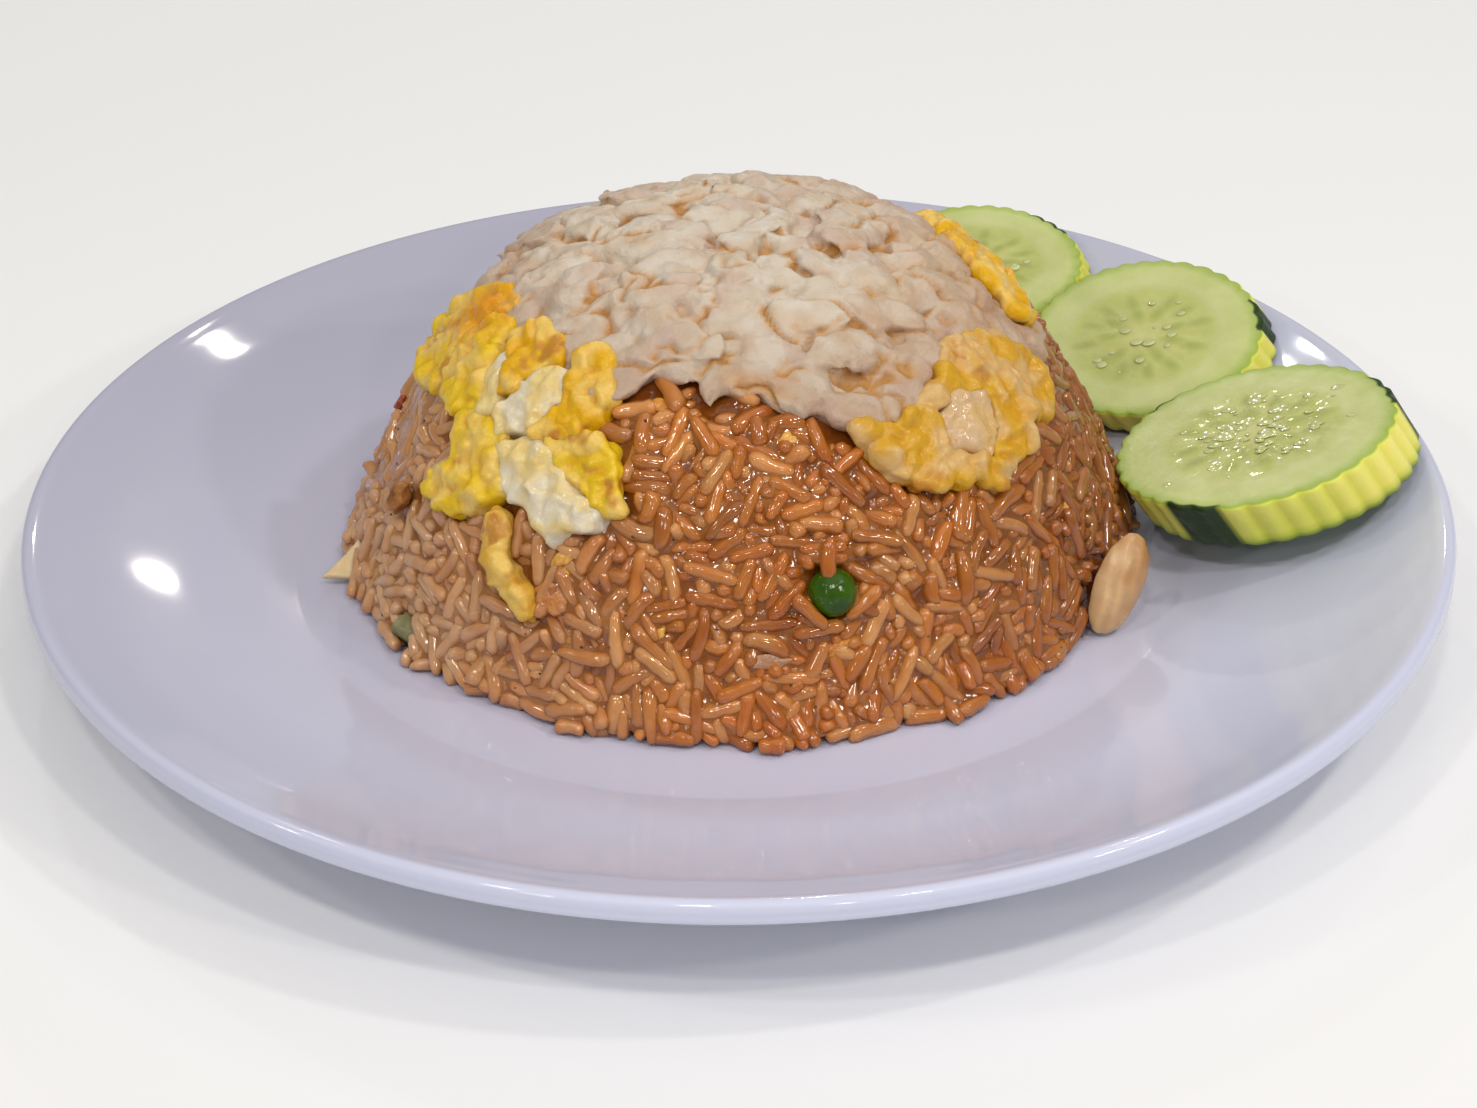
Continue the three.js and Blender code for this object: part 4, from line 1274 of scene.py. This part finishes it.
def two_tone(name, colour, patch, scale, relief, rough, soft=None, **values):
    """A material in two colours that meet in soft patches."""
    material, tree, shader = new_material(name)
    tones = effect(tree, MOTTLE, Colour_A=colour, Colour_B=patch, Scale=scale)["Colour"]
    set_shader(tree, shader, tones, relief, rough, soft, **values)
    return material


def add_beads():
    """Beads of water on the cut faces, in the tones of the flesh that shows through them."""
    rng = np.random.default_rng(90)
    frames = []
    for piece in SLICES:
        ex, ey, ez = slice_frame(piece)
        for _ in range(piece["beads"]):
            spread = rng.normal(0, 0.25, 2)
            if np.hypot(*spread) > 0.85:
                continue
            size = rng.uniform(0.7, 2.2)
            x, y = spread * piece["half"]
            centre = np.array(piece["centre"]) + x * ex + y * ey + 0.02 * ez
            length = size * rng.uniform(1, 1.6)
            frames.append(np.stack([length * ex, size * ey, 0.15 * size * ez, centre], 1))
    bm = bmesh.new()
    bmesh.ops.create_uvsphere(bm, u_segments=10, v_segments=6, radius=0.5)
    beads = joined_copies("water_beads_1", template_of(bm), np.array(frames), np.ones((len(frames), 3)))
    water = two_tone("water_on_flesh", (0.58, 0.62, 0.26), (0.52, 0.56, 0.21), 300.0,
                     dict(Scale=300.0, Strength=0.05, Depth=0.0002), (200.0, 0.02, 0.06), IOR=1.9,
                     Specular_IOR_Level=1.0)
    dress(beads, water, "cucumber")


def add_cucumber():
    cucumber = wet_cucumber()
    for number, piece in enumerate(SLICES):
        add_slice(piece, cucumber, number)
    add_beads()


add_cucumber()

# Pea, onion petal, scallion ring, a torn scrap of egg white and fried garlic: small cooked pieces
# from the pan, lodged in the rice or fallen at its foot.
ONION = np.array([0.46, 0.24, 0.09])
ONION_PALE = np.array([0.62, 0.42, 0.22])


def moist(name, colour, patch, scale, rough, weight, depth):
    """A moist cooked vegetable in two tones."""
    return two_tone(name, colour, patch, scale, dict(Scale=500.0, Strength=0.3, Depth=0.0005),
                    (400.0, rough, rough + 0.15), (weight, depth, (1.0, 0.8, 0.5)),
                    Specular_IOR_Level=0.35)


def softened(name, node, voxel, size, amount, seed):
    """A node's solid with a fine, slightly uneven skin."""
    piece = remeshed(name, solid_copy(name, node), voxel)
    points = calmed(piece, points_of(piece), 2)
    set_points(piece, points)
    set_points(piece, points + normals_of(piece) * (amount * uneven(points, size, seed))[:, None])
    return piece


def add_onion():
    """The petal: pale at its left edge, browner to the right, with the fine ridges of its layer."""
    piece = softened("cooked_onion", "onion_petal", 0.35, 4.0, 0.3, 4)
    points = points_of(piece)
    low, high = points.min(0), points.max(0)
    across, _, up = ((points - low) / (high - low)).T
    ridge = np.sin(26 * (across - 0.35 * up) + 2 * uneven(points, 5.0, 6))[:, None]
    set_points(piece, points + normals_of(piece) * (0.05 * ridge))
    share = np.clip(1.5 * (across - 0.35) + 0.5 * uneven(points, 4.0, 8), 0, 1)[:, None]
    colour_attribute(piece.data, "tint", blend(ONION_PALE, ONION, share) * (1 + 0.06 * ridge))
    flesh = tinted("onion_flesh", (0.92, 0.84, 0.7), 200.0,
                   dict(Scale=500.0, Strength=0.4, Depth=0.0003, Detail=2.0), (400.0, 0.25, 0.45),
                   (0.5, 3.0, (1.0, 0.7, 0.4)))
    dress(piece, flesh, "onion", "onion_petal")


def add_vegetables():
    pea = moist("pea_skin", (0.045, 0.125, 0.001), (0.018, 0.06, 0.001), 150.0, 0.06, 0.1, 1.0)
    dress(softened("green_pea", "pea", 0.35, 2.5, 0.12, 3), pea, "pea", "pea")
    add_onion()
    scallion = moist("scallion_flesh", (0.26, 0.24, 0.12), (0.12, 0.13, 0.05), 300.0, 0.3, 0.1, 1.0)
    dress(softened("cooked_scallion", "scallion_ring", 0.3, 1.5, 0.2, 5), scallion, "scallion",
          "scallion_ring")
    white = moist("egg_white_skin", (0.72, 0.62, 0.42), (0.66, 0.47, 0.2), 200.0, 0.25, 0.2, 1.5)
    dress(softened("torn_egg_white", "egg_white_scrap", 0.3, 2.0, 0.2, 7), white, "egg_white",
          "egg_white_scrap")
    garlic = moist("garlic_crust", (0.42, 0.17, 0.035), (0.16, 0.05, 0.01), 400.0, 0.3, 0.1, 1.0)
    dress(softened("fried_garlic", "fried_garlic_chip", 0.3, 1.2, 0.3, 6), garlic, "garlic",
          "fried_garlic_chip")


add_vegetables()

# Bits from the pan and ground pepper: crumbs of egg, onion, shrimp and fried garlic that were stirred
# through the rice and show between its grains, with fine pepper lying on them.
BIT_COLOURS = {
    "egg": (0.70, 0.37, 0.07), "fried": (0.60, 0.25, 0.03), "shrimp": (0.62, 0.26, 0.08),
    "red": (0.42, 0.09, 0.04), "onion": (0.45, 0.25, 0.15),
}
# Each bit: angle, height, turn, size, kind.
BITS = [
    (-118, 26.0, 40, (4.4, 2.4, 1.6), "egg"), (-117, 23.8, 110, (3.0, 2.0, 1.5), "egg"),
    (-77, 15.0, 30, (5.6, 2.0, 1.8), "fried"), (-102, 17.5, 60, (3.0, 2.0, 1.6), "egg"),
    (-81, 44.5, 20, (3.4, 2.4, 1.6), "egg"), (-42, 8.5, 35, (8.0, 5.0, 3.2), "shrimp"),
    (-119, 19.5, 10, (8.0, 5.4, 2.6), "shrimp"), (-180, 26.5, 80, (4.0, 2.4, 1.8), "red"),
    (-107, 48.0, 0, (4.4, 2.6, 1.6), "fried"), (-87, 13.8, 4, (9.0, 2.6, 1.8), "onion"),
    (-131, 13.0, 80, (4.4, 2.2, 1.6), "fried"), (-30, 22.0, 20, (4.0, 2.4, 1.6), "egg"),
    (-12, 14.0, 70, (3.6, 2.2, 1.6), "fried"), (25, 20.0, 40, (4.4, 2.8, 1.8), "egg"),
    (70, 16.0, 10, (4.4, 2.6, 1.8), "fried"), (110, 28.0, 60, (5.0, 3.0, 1.8), "egg"),
    (150, 14.0, 30, (4.6, 2.6, 1.8), "onion"),
]
PEPPER_COUNT = 130
PEPPER_DROP = 4


def rough_template(subdivisions, seed):
    """A small torn lump, a unit across."""
    bm = bmesh.new()
    bmesh.ops.create_icosphere(bm, subdivisions=subdivisions, radius=0.5)
    for vert in bm.verts:
        vert.co *= 1 + 0.55 * noise.noise(vert.co * 3 + Vector((seed, 0, 0)))
    return template_of(bm)


def landed(points, outward):
    """Where places over the mound first meet its rice, and which of them do."""
    rice = [piece for piece in bpy.data.objects if piece.name.startswith(("rice_core", "rice_grains"))]
    bpy.context.view_layer.update()
    places, met = points.copy(), np.zeros(len(points), bool)
    for number, (point, out) in enumerate(zip(points, outward)):
        start = Vector((point + PEPPER_DROP * out) * MM)
        hits = [piece.ray_cast(start, -Vector(out), distance=10 * MM) for piece in rice]
        ways = [(place - start).length / MM for hit, place, _, _ in hits if hit]
        if ways:
            places[number] = point + (PEPPER_DROP - min(ways)) * out
            met[number] = True
    return places, met


def add_bits():
    """The bits of each kind, then fine ground pepper over all of the rice."""
    rng = np.random.default_rng(71)
    crumb = tinted("pan_crumb", (0.8, 0.66, 0.5), 500.0,
                   dict(Scale=1200.0, Strength=0.8, Depth=0.0004, Detail=2.0), (500.0, 0.12, 0.35),
                   (0.2, 1.2, (1.0, 0.6, 0.3)))
    frames = []
    for angle, height, turn, size, kind in BITS:
        point, sideways, uphill, outward = bowl_frame(angle, height)
        along = lying(sideways, uphill, turn)
        sides = np.stack([along, np.cross(outward, along), outward], 1) * size
        centre = point - (1.9 if kind == "shrimp" else 1.1) * outward
        frames.append(np.column_stack([sides, centre]))
    colours = np.array([BIT_COLOURS[kind] for *_, kind in BITS])
    dress(joined_copies("pan_bits_1", rough_template(3, 2.0), np.array(frames), colours), crumb, "rice")
    angles = rng.uniform(-180, 180, PEPPER_COUNT)
    heights = rng.uniform(2, 46, PEPPER_COUNT)
    points, sideways, uphill, outward = bowl_frame(angles, heights)
    sizes = rng.uniform(0.35, 0.8, PEPPER_COUNT)[:, None]
    points, met = landed(points, outward)
    specks = np.stack([sizes * sideways, 0.8 * sizes * uphill, 0.7 * sizes * outward, points], 2)[met]
    dark = 0.03 * rng.uniform(0.5, 2.0, (len(specks), 1)) * np.array([1.0, 0.7, 0.5])
    dress(joined_copies("ground_pepper_1", rough_template(1, 5.0), specks, dark), crumb, "rice")


add_bits()
